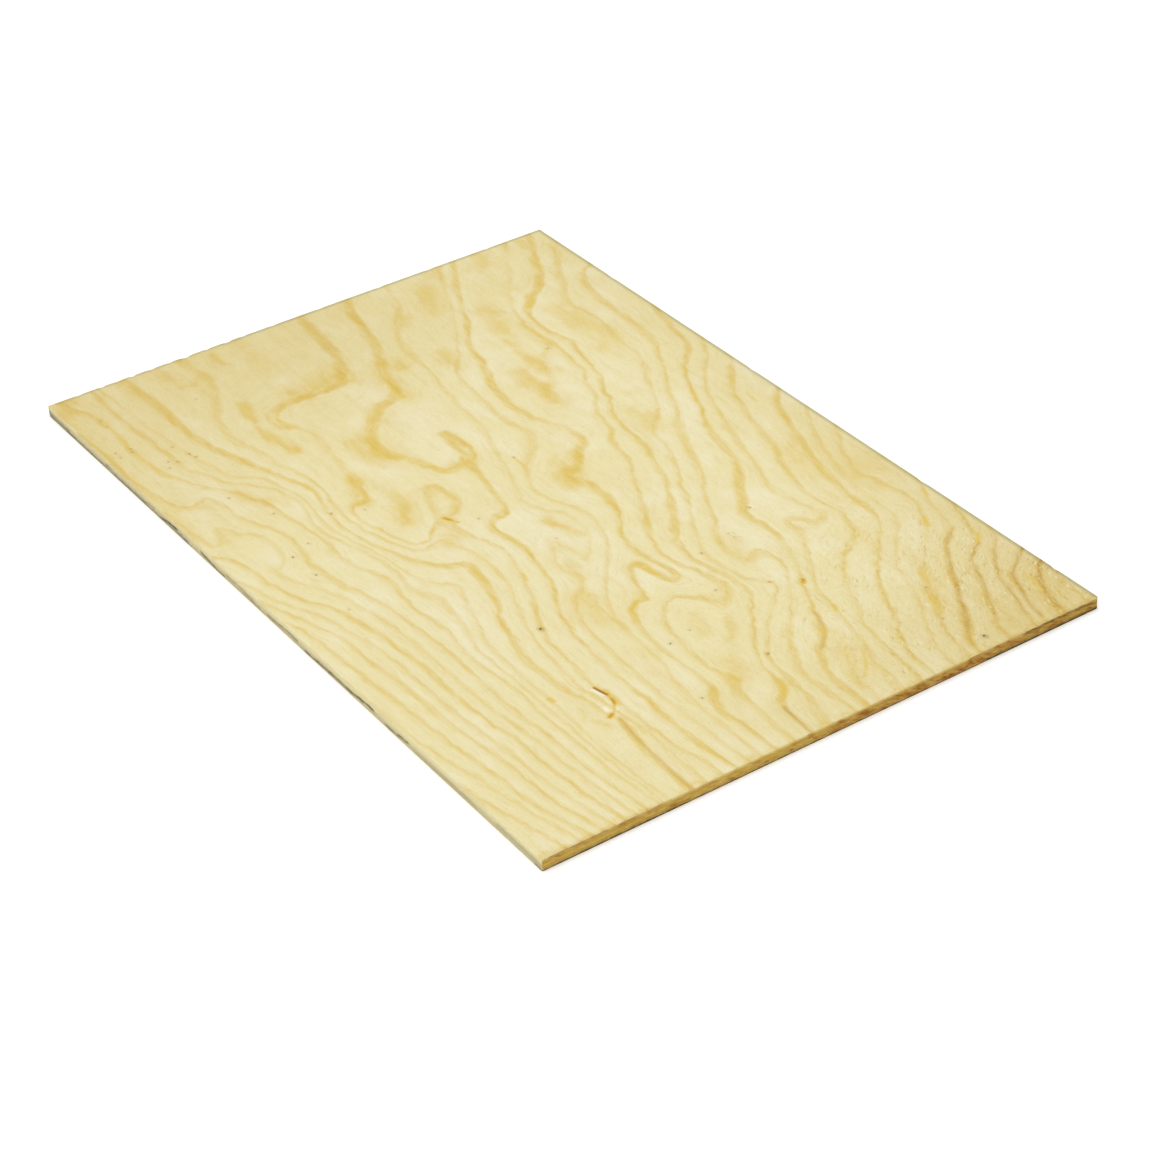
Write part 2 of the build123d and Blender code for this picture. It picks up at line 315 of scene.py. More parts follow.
# Stretches where a ring's late wood is broader and darker: half width in millimetres, share, points
BROAD_RINGS = (
    (10, 0.8, ((0, 293), (65, 289), (100, 282), (128, 270), (146, 256), (146, 210))),
    (9, 0.8, ((150, 210), (152, 188), (166, 171), (182, 171))),
    (9, 0.8, ((160, 302), (206, 296), (213, 272), (222, 256))),
    (12, 0.9, ((222, 256), (248, 236), (274, 224), (300, 228))),
    (9, 0.7, ((300, 222), (330, 240), (355, 253), (356, 275))),
    (7, 0.6, ((60, 154), (95, 143), (125, 128), (150, 121), (185, 120))),
    (6, 0.8, ((0, 83), (55, 90), (110, 89))),
    (6, 0.5, ((110, 89), (140, 89))),
    (6, 0.7, ((155, 91), (190, 97), (220, 106))),
    (5, 0.3, ((220, 106), (308, 134))),
    (4, 0.2, ((0, 50), (60, 47), (140, 52), (190, 55))),
    (4, 0.2, ((45, 29), (100, 31), (175, 30), (212, 43))),
    (5, 0.5, ((366, 226), (380, 232), (414, 236))),
    (5, 0.8, ((428, 202), (446, 207), (462, 209))),
    (6, 0.6, ((455, 250), (460, 240))),
    (5, 0.4, ((470, 234), (515, 240))),
    (5, 0.4, ((600, 195), (635, 180))),
    (6, 0.7, ((497, 168), (505, 182), (528, 182), (555, 176))),
    (5, 0.3, ((555, 176), (605, 156))),
    (6, 0.8, ((520, 125), (537, 133), (555, 131))),
    (5, 0.6, ((635, 149), (658, 142), (700, 144), (730, 147))),
    (5, 0.8, ((790, 157), (815, 154), (850, 150), (900, 150))),
    (4, 0.3, ((760, 192), (870, 192))),
    (5, 0.6, ((652, 272), (660, 260), (676, 254))),
    (6, 0.7, ((798, 247), (818, 237), (840, 234))),
    (6, 0.6, ((790, 268), (806, 270), (818, 262))),
    (6, 0.8, ((825, 299), (840, 292), (850, 282))),
    (4, 0.4, ((470, 109), (495, 110), (520, 107))),
    (4, 0.4, ((505, 52), (555, 61), (625, 66), (660, 65))),
    (4, 0.4, ((610, 35), (650, 37), (700, 39))),
    (4, 0.4, ((600, 17), (655, 20))),
    (4, 0.3, ((400, 98), (440, 90))),
    (4, 0.4, ((400, 70), (440, 71), (470, 75))),
    (8, 0.7, ((0, 353), (30, 341), (75, 332), (118, 318), (150, 305))),
    (9, 0.5, ((50, 387), (80, 371), (103, 354), (150, 345))),
    (6, 0.5, ((0, 487), (50, 460), (100, 436))),
    (6, 0.4, ((125, 426), (160, 405), (215, 390))),
    (6, 0.6, ((215, 389), (250, 376), (290, 370), (325, 374))),
    (6, 0.5, ((280, 351), (320, 351), (350, 355))),
    (8, 0.7, ((361, 353), (384, 335), (400, 320))),
    (9, 0.7, ((388, 391), (405, 378), (424, 362), (436, 350))),
    (10, 0.6, ((438, 345), (468, 350), (500, 348))),
    (9, 0.8, ((55, 559), (87, 544), (109, 528), (120, 512), (141, 492))),
    (6, 0.6, ((0, 585), (30, 572))),
    (7, 0.5, ((60, 584), (105, 558), (148, 537))),
    (6, 0.5, ((117, 579), (150, 567), (220, 562), (285, 555))),
    (5, 0.5, ((318, 518), (340, 506))),
    (5, 0.5, ((398, 478), (410, 464))),
    (5, 0.5, ((394, 423), (415, 410))),
    (5, 0.4, ((425, 432), (455, 426))),
    (8, 0.7, ((432, 478), (460, 466), (486, 457))),
    (5, 0.5, ((372, 586), (400, 566))),
    (5, 0.4, ((240, 593), (303, 581), (325, 565))),
    (6, 0.5, ((443, 590), (480, 571), (520, 557))),
    (9, 0.7, ((520, 557), (550, 547), (600, 535), (650, 531))),
    (7, 0.4, ((500, 534), (540, 520), (560, 512))),
    (6, 0.5, ((460, 515), (500, 503))),
    (6, 0.5, ((450, 499), (505, 487), (535, 470))),
    (8, 0.9, ((545, 467), (570, 450), (590, 438))),
    (5, 0.4, ((605, 433), (645, 437))),
    (6, 0.6, ((640, 492), (648, 480), (634, 460), (650, 458))),
    (6, 0.5, ((600, 397), (635, 385), (655, 394))),
    (7, 0.8, ((533, 395), (559, 380), (578, 367))),
    (6, 0.6, ((535, 362), (560, 348))),
    (5, 0.4, ((592, 357), (628, 351), (672, 361))),
    (6, 0.7, ((602, 302), (625, 309), (645, 318), (625, 324))),
    (7, 0.6, ((655, 346), (690, 345), (705, 330), (680, 317))),
    (5, 0.5, ((760, 361), (792, 338), (820, 324))),
    (5, 0.5, ((820, 324), (870, 323))),
    (6, 0.6, ((860, 304), (900, 296))),
    (5, 0.4, ((762, 387), (797, 365), (835, 342), (900, 337))),
    (6, 0.4, ((735, 569), (750, 549), (792, 522), (840, 494))),
    (6, 0.8, ((840, 494), (868, 475), (885, 466))),
    (7, 0.5, ((765, 512), (792, 492), (828, 475))),
    (6, 0.5, ((685, 497), (700, 478))),
)

# Stretches where a ring fades
FADED_RINGS = (
    (7, 0.55, ((205, 186), (260, 182), (300, 177))),
    (5, 0.5, ((380, 212), (415, 205))),
    (8, 0.75, ((30, 538), (85, 506), (125, 480))),
    (7, 0.5, ((338, 380), (362, 389), (380, 391))),
    (7, 0.6, ((655, 434), (690, 421))),
    (8, 0.6, ((722, 550), (760, 516))),
    (8, 0.5, ((685, 528), (725, 492))),
    (8, 0.6, ((610, 547), (680, 543))),
    (8, 0.5, ((40, 456), (150, 397))),
    (7, 0.5, ((690, 380), (740, 352))),
    (8, 0.45, ((690, 228), (760, 216))),
    (6, 0.5, ((60, 61), (125, 65))),
    (7, 0.5, ((520, 300), (552, 288))),
    (9, 0.4, ((700, 440), (780, 425))),
    (6, 0.35, ((512, 220), (600, 196))),
    (6, 0.4, ((690, 248), (790, 248))),
    (6, 0.4, ((700, 404), (745, 375))),
    (6, 0.5, ((590, 480), (640, 494))),
    (7, 0.5, ((660, 594), (735, 569))),
    (6, 0.3, ((690, 194), (745, 193))),
)

# Amber pools of late wood off the ring lines: half width in millimetres, darkness, points
AMBER_POOLS = (
    (2.5, 0.6, ((16, 182), (38, 181))),
    (7, 0.3, ((12, 180), (40, 181))),
    (8, 0.5, ((0, 115), (25, 120))),
    (4, 0.5, ((0, 151), (28, 153), (55, 156))),
    (2.2, 0.35, ((0, 50), (60, 47), (110, 50), (165, 54))),
    (3, 0.4, ((30, 124), (52, 128), (58, 136), (48, 146))),
    (4.5, 0.75, ((120, 158), (145, 153), (170, 148), (205, 148), (232, 156))),
    (6, 0.5, ((200, 152), (230, 158))),
    (9, 0.6, ((0, 20), (28, 14))),
    (9, 0.62, ((138, 262), (141, 208))),
    (12, 0.25, ((118, 266), (124, 215))),
    (7, 0.5, ((118, 275), (148, 270))),
    (9, 0.4, ((218, 266), (240, 254))),
    (9, 0.4, ((150, 300), (210, 296))),
    (11, 0.58, ((260, 221), (304, 219))),
    (6, 0.4, ((255, 205), (292, 204))),
    (3.5, 0.6, ((297, 286), (345, 284))),
    (2, 0.6, ((294, 293), (330, 293))),
    (5, 0.4, ((353, 262), (354, 284))),
    (7.5, 0.65, ((320, 172), (353, 160))),
    (3, 0.5, ((302, 179), (320, 173))),
    (10, 0.55, ((370, 193), (410, 175))),
    (5, 0.5, ((384, 190), (408, 177))),
    (7, 0.45, ((264, 70), (298, 86))),
    (5, 0.7, ((488, 280), (524, 291))),
    (9, 0.4, ((608, 238), (655, 232))),
    (9, 0.3, ((614, 226), (640, 209))),
    (2.2, 0.5, ((625, 237.5), (683, 238.5))),
    (10, 0.25, ((720, 226), (748, 222))),
    (6, 0.45, ((805, 242), (830, 238))),
    (4, 0.5, ((600, 241), (620, 243))),
    (9, 0.5, ((455, 196), (466, 188))),
    (10, 0.5, ((775, 282), (802, 272))),
    (5, 0.5, ((832, 296), (842, 290))),
    (4, 0.4, ((565, 256), (590, 252))),
    (5, 0.3, ((520, 268), (540, 264))),
    (9, 0.5, ((405, 368), (438, 352))),
    (9, 0.5, ((430, 335), (452, 332))),
    (6, 0.5, ((158, 372), (188, 366))),
    (6, 0.5, ((146, 326), (163, 326))),
    (6, 0.6, ((140, 312), (160, 319))),
    (13, 0.45, ((160, 522), (238, 526))),
    (6, 0.3, ((175, 512), (195, 512))),
    (6, 0.3, ((255, 508), (278, 514))),
    (4, 0.6, ((186, 436), (225, 434), (245, 438))),
    (7, 0.6, ((228, 437), (258, 436))),
    (5, 0.4, ((258, 437), (274, 430))),
    (10, 0.55, ((248, 410), (316, 409))),
    (6, 0.4, ((282, 420), (298, 412))),
    (5, 0.4, ((262, 415), (300, 418))),
    (3, 0.4, ((236, 434), (238, 424), (250, 414))),
    (6, 0.5, ((6, 514), (30, 508))),
    (9, 0.5, ((116, 455), (165, 445))),
    (6, 0.4, ((165, 468), (215, 468))),
    (4, 0.4, ((212, 468), (236, 450))),
    (11, 0.5, ((38, 430), (78, 413))),
    (5, 0.3, ((44, 422), (58, 412))),
    (8, 0.35, ((90, 532), (96, 508))),
    (5, 0.4, ((224, 563), (242, 562))),
    (8, 0.3, ((0, 462), (20, 448))),
    (6, 0.4, ((70, 380), (85, 370))),
    (9, 0.4, ((385, 462), (418, 455))),
    (6, 0.4, ((412, 345), (430, 344))),
    (8, 0.4, ((520, 548), (552, 528))),
    (16, 0.25, ((555, 562), (625, 558))),
    (14, 0.2, ((570, 522), (640, 518))),
    (5, 0.4, ((585, 572), (612, 560))),
    (5, 0.5, ((722, 318), (752, 306))),
    (5, 0.35, ((700, 298), (728, 290))),
    (7, 0.35, ((40, 592), (55, 590))),
    (4, 0.5, ((8, 568), (28, 564))),
    (6, 0.3, ((600, 595), (608, 578))),
    (3, 0.6, ((120, 506), (140, 494))),
    (3, 0.6, ((848, 576), (872, 566))),
    (7, 0.25, ((0, 218), (85, 210))),
    (2.5, 0.5, ((822, 374), (838, 362), (858, 354), (880, 351), (900, 350))),
    (12, 0.35, ((798, 374), (846, 373))),
    (7, 0.35, ((622, 395), (646, 394))),
    (8, 0.25, ((690, 500), (725, 492))),
    (10, 0.2, ((755, 525), (782, 512))),
    (10, 0.25, ((855, 528), (885, 515))),
    (7, 0.5, ((803, 487), (828, 478))),
    (6, 0.35, ((740, 508), (800, 498))),
    (6, 0.4, ((800, 540), (850, 516))),
    (5, 0.4, ((820, 563), (842, 555))),
    (14, 0.3, ((820, 590), (890, 560))),
    (5, 0.35, ((0, 2.5), (310, 2.5))),
    (4, 0.4, ((54, 50), (66, 49))),
    (5, 0.35, ((255, 15), (262, 28))),
    (2, 0.35, ((755, 140), (762, 136.5), (769, 134.7), (780, 136.5), (784, 146))),
    (3.5, 0.3, ((779, 142), (784, 147))),
    (2.2, 0.5, ((899.5, 0), (899.5, 600))),
)

# Resin and bruises, orange-brown: half width in millimetres, darkness, points
RESIN_MARKS = (
    (1.3, 0.85, ((734, 165.8), (741, 167.2), (749, 168.8))),
    (3.5, 0.3, ((744, 171), (757, 171.5), (766, 169.5))),
    (1.2, 0.4, ((749, 169), (761, 168), (767, 164.6), (773, 160.3))),
    (1.3, 0.45, ((757, 168.6), (763, 167.4))),
    (2.1, 0.72, ((775, 156.5), (777, 152.6))),
    (1.8, 0.3, ((376, 317.5), (398, 316))),
    (1.8, 0.75, ((425, 206), (431, 209))),
    (1.2, 0.55, ((431, 209), (440, 213))),
    (1.5, 0.4, ((168, 171), (176, 171))),
    (1.5, 0.5, ((210, 294), (214, 293))),
    (1.2, 0.4, ((20, 181.5), (32, 181))),
    (1.5, 0.4, ((550, 213), (560, 211))),
    (1.8, 0.9, ((715, 410), (719, 407))),
    (1.8, 0.45, ((702, 562), (718, 555))),
    (1.8, 0.5, ((833, 296), (844, 289))),
    (2.0, 0.45, ((723, 126), (729, 126.5))),
    (1.8, 0.45, ((755, 583), (767, 573))),
    (1.8, 0.4, ((763, 406), (771, 404))),
    (1.8, 0.4, ((785, 377), (795, 371))),
    (2.0, 0.4, ((125, 504), (140, 494))),
    (1.5, 0.5, ((650, 271), (658, 258))),
    (1.8, 0.35, ((665, 593), (678, 587))),
    (1.8, 0.25, ((770, 500), (795, 493))),
    (1.8, 0.25, ((806, 485), (828, 474))),
    (1.8, 0.3, ((868, 477), (886, 466))),
    (1.8, 0.3, ((825, 575), (862, 567))),
    (1.8, 0.2, ((835, 590), (855, 580))),
    (1.8, 0.4, ((606, 304), (628, 310))),
    (1.8, 0.3, ((384, 577), (398, 570))),
    (1.8, 0.3, ((420, 568), (440, 565))),
    (1.8, 0.35, ((400, 416), (410, 411))),
    (1.8, 0.3, ((545, 357), (556, 351))),
    (1.8, 0.35, ((385, 526), (404, 519))),
    (1.8, 0.35, ((835, 383), (850, 374), (864, 362))),
    (1.8, 0.25, ((50, 28), (75, 31), (100, 31), (125, 28), (175, 30), (200, 38))),
)

# The split beside the scar, and the wood torn up pale along it
SPLIT = (
    (1.0, 0.5, ((735, 166), (741, 167.2), (747, 168.4))),
)
TORN_PALE = (
    (1.2, 0.75, ((736, 163.3), (742, 164.4), (748, 166))),
    (1.8, 0.55, ((764, 156.5), (769, 155.5))),
    (1.3, 0.4, ((769.5, 165.5), (772.5, 164))),
    (1.2, 0.5, ((587, 446), (592, 447))),
)

# Wood that stayed paler than the rest, and wood darker toward the ends of the sheet, partly from age and
# partly as painted shade where the light falls off
PALE_POOLS = (
    (16, 0.4, ((240, 275), (330, 268))),
    (14, 0.4, ((470, 258), (515, 258))),
    (4.5, 0.75, ((243, 424), (271, 421))),
    (12, 0.4, ((285, 440), (340, 430))),
    (14, 0.5, ((595, 412), (640, 412))),
    (10, 0.5, ((665, 398), (700, 396))),
    (9, 0.5, ((580, 466), (625, 466))),
    (10, 0.35, ((620, 345), (650, 338))),
    (7, 0.4, ((740, 230), (770, 238))),
    (50, 0.18, ((450, 150), (650, 130))),
)
AGED_AND_FALLOFF_SHADE = (
    (150, 0.75, ((0, 0), (0, 250))),
    (110, 0.2, ((0, 300), (0, 600))),
    (55, 0.4, ((150, 610), (700, 610))),
    (100, 1.0, ((850, 620), (920, 540))),
    (70, 0.3, ((900, 300), (900, 460))),
    (12, 0.35, ((590, 597), (880, 597))),
    (60, 0.25, ((40, 30), (250, 30))),
    (60, 0.25, ((0, 580), (60, 600))),
)

# Rings and stretches of the near rim that are browned: half width in millimetres, darkness, points
BROWNED_RINGS = (
    (1.8, 0.35, ((735, 569), (750, 549), (777, 531), (808, 513))),
    (1.8, 0.6, ((808, 513), (840, 494), (868, 475), (886, 465))),
    (1.8, 0.35, ((766, 573), (787, 548), (822, 533), (862, 511))),
    (1.8, 0.35, ((785, 578), (808, 559), (842, 546), (880, 533))),
    (1.8, 0.45, ((798, 600), (825, 564), (856, 551), (890, 541))),
    (1.8, 0.65, ((823, 600), (842, 581), (864, 569), (890, 562))),
    (1.8, 0.35, ((762, 387), (792, 375), (810, 357))),
    (1.8, 0.35, ((785, 158), (815, 154), (900, 150))),
    (1.8, 0.6, ((858, 279), (875, 277), (900, 276))),
    (1.4, 0.5, ((899, 0), (899, 120))),
    (1.4, 0.25, ((899, 470), (899, 600))),
)

# The far rims, tinted grey in a thin line
FAR_RIM_GREY_LINE = (
    (1.6, 0.9, ((2, 598.4), (898, 598.4))),
    (1.8, 0.6, ((1.8, 10), (1.8, 200))),
    (1.8, 0.8, ((1.8, 200), (1.8, 598))),
)

# Grain torn by the peeling knife: half width, roughness, points
TORN_GRAIN = (
    (30, 0.95, ((825, 595), (900, 570))),
    (22, 0.75, ((760, 555), (830, 540))),
    (9, 0.8, ((708, 417), (728, 420))),
    (45, 0.6, ((740, 530), (890, 470))),
    (45, 0.5, ((720, 440), (890, 400))),
    (40, 0.4, ((640, 500), (720, 560))),
    (60, 0.25, ((620, 380), (880, 330))),
)

# Pin knots and resin pits: place, length along the grain, breadth, all in millimetres, and darkness
PIN_PITS = (
    (633, 178, 2.2, 1.8, 1.0), (883, 481, 2.4, 2.0, 1.0), (590, 443, 1.2, 2.0, 0.6),
    (395, 60, 2.0, 1.2, 0.9), (433, 62, 1.8, 1.1, 0.8), (267, 62, 1.6, 1.0, 0.7),
    (787, 315, 1.8, 1.2, 0.8), (803, 231, 1.6, 1.0, 0.7), (722, 256, 1.6, 1.3, 0.9),
    (222, 461, 1.6, 1.0, 0.6), (353, 126, 1.6, 1.2, 0.7), (447, 232, 1.4, 1.0, 0.6),
    (521, 272, 1.4, 0.8, 0.4), (680, 337, 1.4, 1.0, 0.6), (715, 282, 1.4, 1.0, 0.5),
    (624, 362, 1.8, 0.9, 0.7), (700, 384, 1.6, 1.0, 0.6), (318, 83, 1.6, 0.9, 0.6),
    (384, 83, 1.6, 0.9, 0.6), (500, 58, 1.8, 0.8, 0.4), (367, 155, 1.6, 1.0, 0.7),
    (172, 47, 1.6, 1.0, 0.6), (183, 42, 1.4, 1.0, 0.6), (178, 54, 1.4, 0.9, 0.5),
    (150, 63, 2.0, 0.8, 0.5), (172, 70, 1.6, 0.9, 0.6), (181, 73, 1.6, 0.9, 0.6),
    (60, 30, 2.2, 0.7, 0.4), (75, 29, 2.2, 0.7, 0.4), (127, 28, 2.2, 0.7, 0.5),
    (134, 27, 2.2, 0.7, 0.5), (126, 13, 2.2, 0.7, 0.5), (135, 13, 2.2, 0.7, 0.5),
    (613, 401, 1.4, 0.8, 0.4), (620, 402, 1.4, 0.8, 0.4), (83, 126, 1.6, 0.8, 0.4),
    (376, 317, 1.4, 0.9, 0.6), (794, 489, 1.6, 0.9, 0.5), (768, 572, 1.6, 0.9, 0.6),
    (840, 470, 1.4, 0.9, 0.5),
)

# Stains round the two largest pits: half width in millimetres, darkness, points
PIT_STAINS = (
    (1.7, 0.35, ((632, 178), (634, 178))),
    (1.7, 0.45, ((882, 481), (884, 481))),
)

# Chips out of the face's rim: side, place along it, length and depth, in millimetres
RIM_CHIPS = (
    ("far end", 34, 7, 0.6), ("far end", 61, 5, 1.0), ("far end", 78, 9, 0.7), ("far end", 96, 5, 1.3),
    ("far end", 118, 8, 0.9), ("far end", 139, 5, 0.7), ("far end", 158, 10, 1.4),
    ("far end", 183, 5, 0.8), ("far end", 207, 8, 1.1), ("far end", 226, 5, 0.6),
    ("far end", 262, 6, 0.6), ("far end", 318, 7, 0.5), ("far end", 392, 6, 0.6),
    ("far end", 455, 9, 0.5), ("far end", 530, 6, 0.6), ("near end", 22, 5, 0.5),
    ("near end", 71, 4, 0.4), ("near end", 128, 6, 0.5), ("near end", 204, 5, 0.4),
    ("near end", 273, 4, 0.5), ("near end", 361, 6, 0.4), ("near end", 447, 8, 0.7),
    ("near end", 512, 5, 0.4), ("left side", 46, 9, 0.5), ("left side", 131, 12, 0.6),
    ("left side", 262, 14, 0.7), ("left side", 345, 10, 0.6), ("left side", 478, 16, 0.6),
    ("left side", 622, 14, 0.7), ("left side", 690, 9, 0.6), ("right side", 140, 12, 0.5),
    ("right side", 388, 10, 0.5), ("right side", 655, 14, 0.6), ("right side", 842, 8, 0.8),
)

# Marks on the near end, as place along it and height: half width in millimetres, darkness, points
NEAR_END_BROWN = (
    (4.5, 0.3, ((300, 5), (600, 5))),
    (1.5, 0.42, ((0, 11.6), (125, 11.6))),
    (1.5, 0.4, ((460, 11.6), (600, 11.6))),
    (1.6, 0.25, ((300, 2.6), (470, 2.6))),
    (2.5, 0.35, ((14, 10), (15, 7))),
    (1.6, 0.25, ((78, 9), (82, 6))),
    (1.6, 0.3, ((108, 7), (113, 3.5))),
    (2.5, 0.35, ((130, 4.5), (141, 3.8))),
    (1.6, 0.25, ((166, 9.5), (176, 6))),
    (1.3, 0.5, ((187, 6), (191, 3.6))),
    (1.3, 0.4, ((215, 8), (224, 3.5))),
    (1.6, 0.6, ((249, 5), (254, 3))),
    (1.5, 0.35, ((252, 9), (262, 8))),
    (1.0, 0.45, ((271, 12), (276, 7.5))),
    (1.3, 0.5, ((280, 5), (285, 3.4))),
    (1.8, 0.45, ((305, 8.5), (313, 4))),
    (2.0, 0.45, ((322, 8.5), (337, 5.5))),
    (1.8, 0.9, ((354, 1.8), (358, 0.6))),
    (1.2, 0.5, ((355, 9), (368, 4))),
    (1.2, 0.45, ((366, 9), (384, 5))),
    (3.0, 0.6, ((388, 4.5), (400, 4))),
    (1.8, 0.45, ((404, 8.6), (411, 7))),
    (2.0, 0.8, ((414, 3.2), (420, 2.8))),
    (1.2, 0.6, ((421, 9), (424, 7))),
    (2.4, 0.8, ((426, 4), (433, 3))),
    (1.8, 0.8, ((443, 3.6), (449, 6), (455, 10.5))),
    (2.0, 0.6, ((458, 4.5), (465, 2.8))),
    (2.0, 0.4, ((468, 8), (480, 9))),
    (1.6, 0.4, ((487, 4), (494, 2.5))),
    (2.0, 0.35, ((495, 6.5), (508, 5.5))),
    (1.6, 0.4, ((520, 9), (528, 6.5))),
    (1.6, 0.35, ((545, 6), (556, 4.5))),
    (2.0, 0.5, ((590, 10), (592, 5))),
)
# Soiling, a dark line high on the edge by the right corner, and painted contact shade: the dark foot line
# along the bottom is shade where the sheet meets the floor
NEAR_END_DIRT_AND_SHADE = (
    (1.2, 1.0, ((0, 0.2), (30, 0.2))),
    (1.6, 1.0, ((30, 0.2), (132, 0.3))),
    (1.2, 0.95, ((132, 0.2), (300, 0.2))),
    (1.0, 0.8, ((300, 0.2), (470, 0.2))),
    (1.4, 0.95, ((470, 1.0), (520, 1.0), (600, 1.4))),
    (0.9, 0.65, ((515, 10), (550, 10.4), (580, 9.5), (592, 9))),
)

# Marks on the left side, as place along it and height: soiled lines, and painted contact shade along the
# foot where the sheet meets the floor
LEFT_SIDE_DIRT_AND_SHADE = (
    (3.0, 0.35, ((0, 8), (6, 5))),
    (2.2, 0.4, ((5, 4), (50, 4))),
    (0.9, 0.6, ((40, 2), (52, 2))),
    (1.1, 0.45, ((52, 2.2), (120, 1.8))),
    (0.9, 0.45, ((124, 3.5), (132, 5.2), (142, 5.8))),
    (1.5, 0.35, ((145, 2), (180, 2.5), (210, 3))),
    (0.8, 0.3, ((212, 4.5), (230, 6.5))),
    (0.9, 0.95, ((242, 1.8), (252, 4.2), (262, 5.2), (280, 5.8))),
    (0.9, 0.55, ((276, 2.2), (300, 1.8))),
    (1.0, 0.7, ((322, 5.8), (335, 4), (350, 2.2), (368, 1.8))),
    (1.1, 0.35, ((375, 5.5), (398, 6.2), (420, 5.5))),
    (0.9, 0.35, ((405, 3), (440, 2.6))),
    (1.1, 0.5, ((452, 3.5), (470, 4.5), (486, 5.8), (505, 5.5))),
    (1.0, 0.75, ((516, 1.6), (535, 2.2), (548, 3), (565, 3.8), (600, 3.4))),
    (1.0, 0.85, ((600, 3.2), (612, 5), (625, 6.2), (640, 6))),
    (1.0, 0.7, ((655, 2.4), (675, 3), (685, 4.5), (697, 6))),
    (1.7, 0.2, ((705, 2.6), (760, 4), (800, 3.6))),
    (2.2, 0.2, ((835, 6.5), (895, 6))),
    (1.8, 0.5, ((0, 1), (300, 1.4))),
    (2.2, 0.1, ((0, 8), (300, 7.5))),
    (1.5, 0.15, ((300, 1.2), (600, 1.2))),
    (1.0, 0.7, ((890, 1.5), (900, 1))),
)

# The arris as in the solids, in millimetres, and the turns at which it has points, in degrees
ARRIS = 0.5
ARRIS_TURNS = (30, 60, 90)

# The corners' radii on the flat face, inside the arris, in millimetres
CRISP_CORNER = 0.5
KNOCKED_CORNER = 2.5

# Grid lines stand close together at the borders, and at the scar, which is modelled in the mesh
BORDER_INSETS = (0.0, 0.5, 1.2, 2.5)
SCAR_X = (726, 786)
SCAR_Y = (150, 174)
SCAR_STEP = 1.0

# Height of the split, the torn wood and the torn grain, in millimetres
SPLIT_DEPTH = 0.9
TORN_RISE = 0.2
TORN_GRAIN_DEPTH = 0.2

# How far in from the rim a chip is felt, in millimetres, and how far it lets the rim down
CHIP_REACH = 3.0
CHIP_DROP_SHARE = 0.4

# Loops down the sawn edges, as shares of the way down, and how fast the chips heal on that way
FACE_LOOP_SHARES = (0.35, 0.6, 0.85, 0.96)
INNER_LOOP_SHARES = (0.06, 0.28, 0.5, 0.72, 0.94)
CHIP_HEALING = 1.4

# Edges that turn by more degrees than this are drawn sharp
SHARP_ANGLE = 40

# The back's random wear starts this far from the face's
BACK_SEED_STEP = 10

# Soft strokes, in half widths: how softly they fade and how far away they are felt
STROKE_SOFTNESS = 1.25
STROKE_REACH = 4

# Waves that make lines and strokes ragged: their count, spread of sizes, and size and reach in millimetres
WAVE_COUNT = 6
WAVE_SIZE_SHARES = (0.5, 1.6)
LINE_WAVES = ((30, 10), (0.5, 0.25))
STROKE_WAVES = ((45, 18), (1.5, 0.8))
EDGE_WAVES = ((14, 5), (1.4, 0.22))

# Lengths under these count as nothing, the second in squared spline lengths
TOUCHING = 1e-9
NO_DISTANCE = 1e-12


class Noise(NamedTuple):
    """Soft noise: its size along each axis in millimetres, its detail, roughness and slant in degrees."""

    sizes: tuple
    detail: float = 2.0
    roughness: float = 0.5
    slant: tuple = (0, 0, 0)


class RingNoise(NamedTuple):
    """Noise that follows the rings: how many blobs a ring holds, and their length in millimetres."""

    per_ring: float
    length: float
    detail: float = 3.0
    roughness: float = 0.6


class Ramp(NamedTuple):
    """A share that goes smoothly from its start to its end as a value goes from one level to another."""

    from_level: float
    to_level: float
    start_share: float = 0.0
    end_share: float = 1.0


class RingSide(NamedTuple):
    """One side of a ring's late wood: width and what broad rings add in millimetres, least in rings."""

    width: float
    broad_width: float
    least: float


# Growth rings: late wood builds up on its soft side and stops short on its sharp one, with ragged lines
SOFT_SIDE = RingSide(2.9, 6.5, 0.05)
SHARP_SIDE = RingSide(1.9, 3.0, 0.01)
RAGGED_LINES = Noise((14, 1.6, 1.6), detail=3, roughness=0.6)
RAGGED_REACH = 3.2
NOISE_MIDDLE = 0.5
PATCHES = Noise((45, 11, 11), detail=4, roughness=0.65)
RING_PATCHES = Ramp(0.3, 0.7, 0.38, 0.92)
POOL_PATCHES = Ramp(0.3, 0.65, 0.7, 1.0)
BROAD_RING_SHARE = 0.15
SEASON_SHARE = 0.07
CRISPNESS = 4.0
CORE_TINT = (0.96, 0.93, 0.87)

# Pale clouds, and thin layers that follow the rings
CLOUDS = Noise((55, 30, 30))
CLOUD_SHARES = Ramp(0.45, 0.72, 0, 0.55)
LAYERS = RingNoise(8.0, 24)
DARK_LAYERS = Ramp(0.5, 0.75, 0, 0.7)
PALE_LAYERS = Ramp(0.48, 0.28, 0, 0.3)
LAYER_TINT = (0.94, 0.91, 0.83)

# Fibres along the grain, from fine to short: their noise, how much they show, and their tint
FIBRES = (
    (Noise((16, 1.3, 1.3), detail=3, roughness=0.6), Ramp(0.45, 0.8, 0, 0.6), (0.92, 0.89, 0.82)),
    (Noise((90, 7, 7), detail=3, roughness=0.55), Ramp(0.45, 0.75, 0, 0.5), (0.95, 0.92, 0.84)),
    (Noise((4, 1.1, 1.1), detail=2, roughness=0.6), Ramp(0.45, 0.8, 0, 0.7), (0.87, 0.865, 0.85)),
)
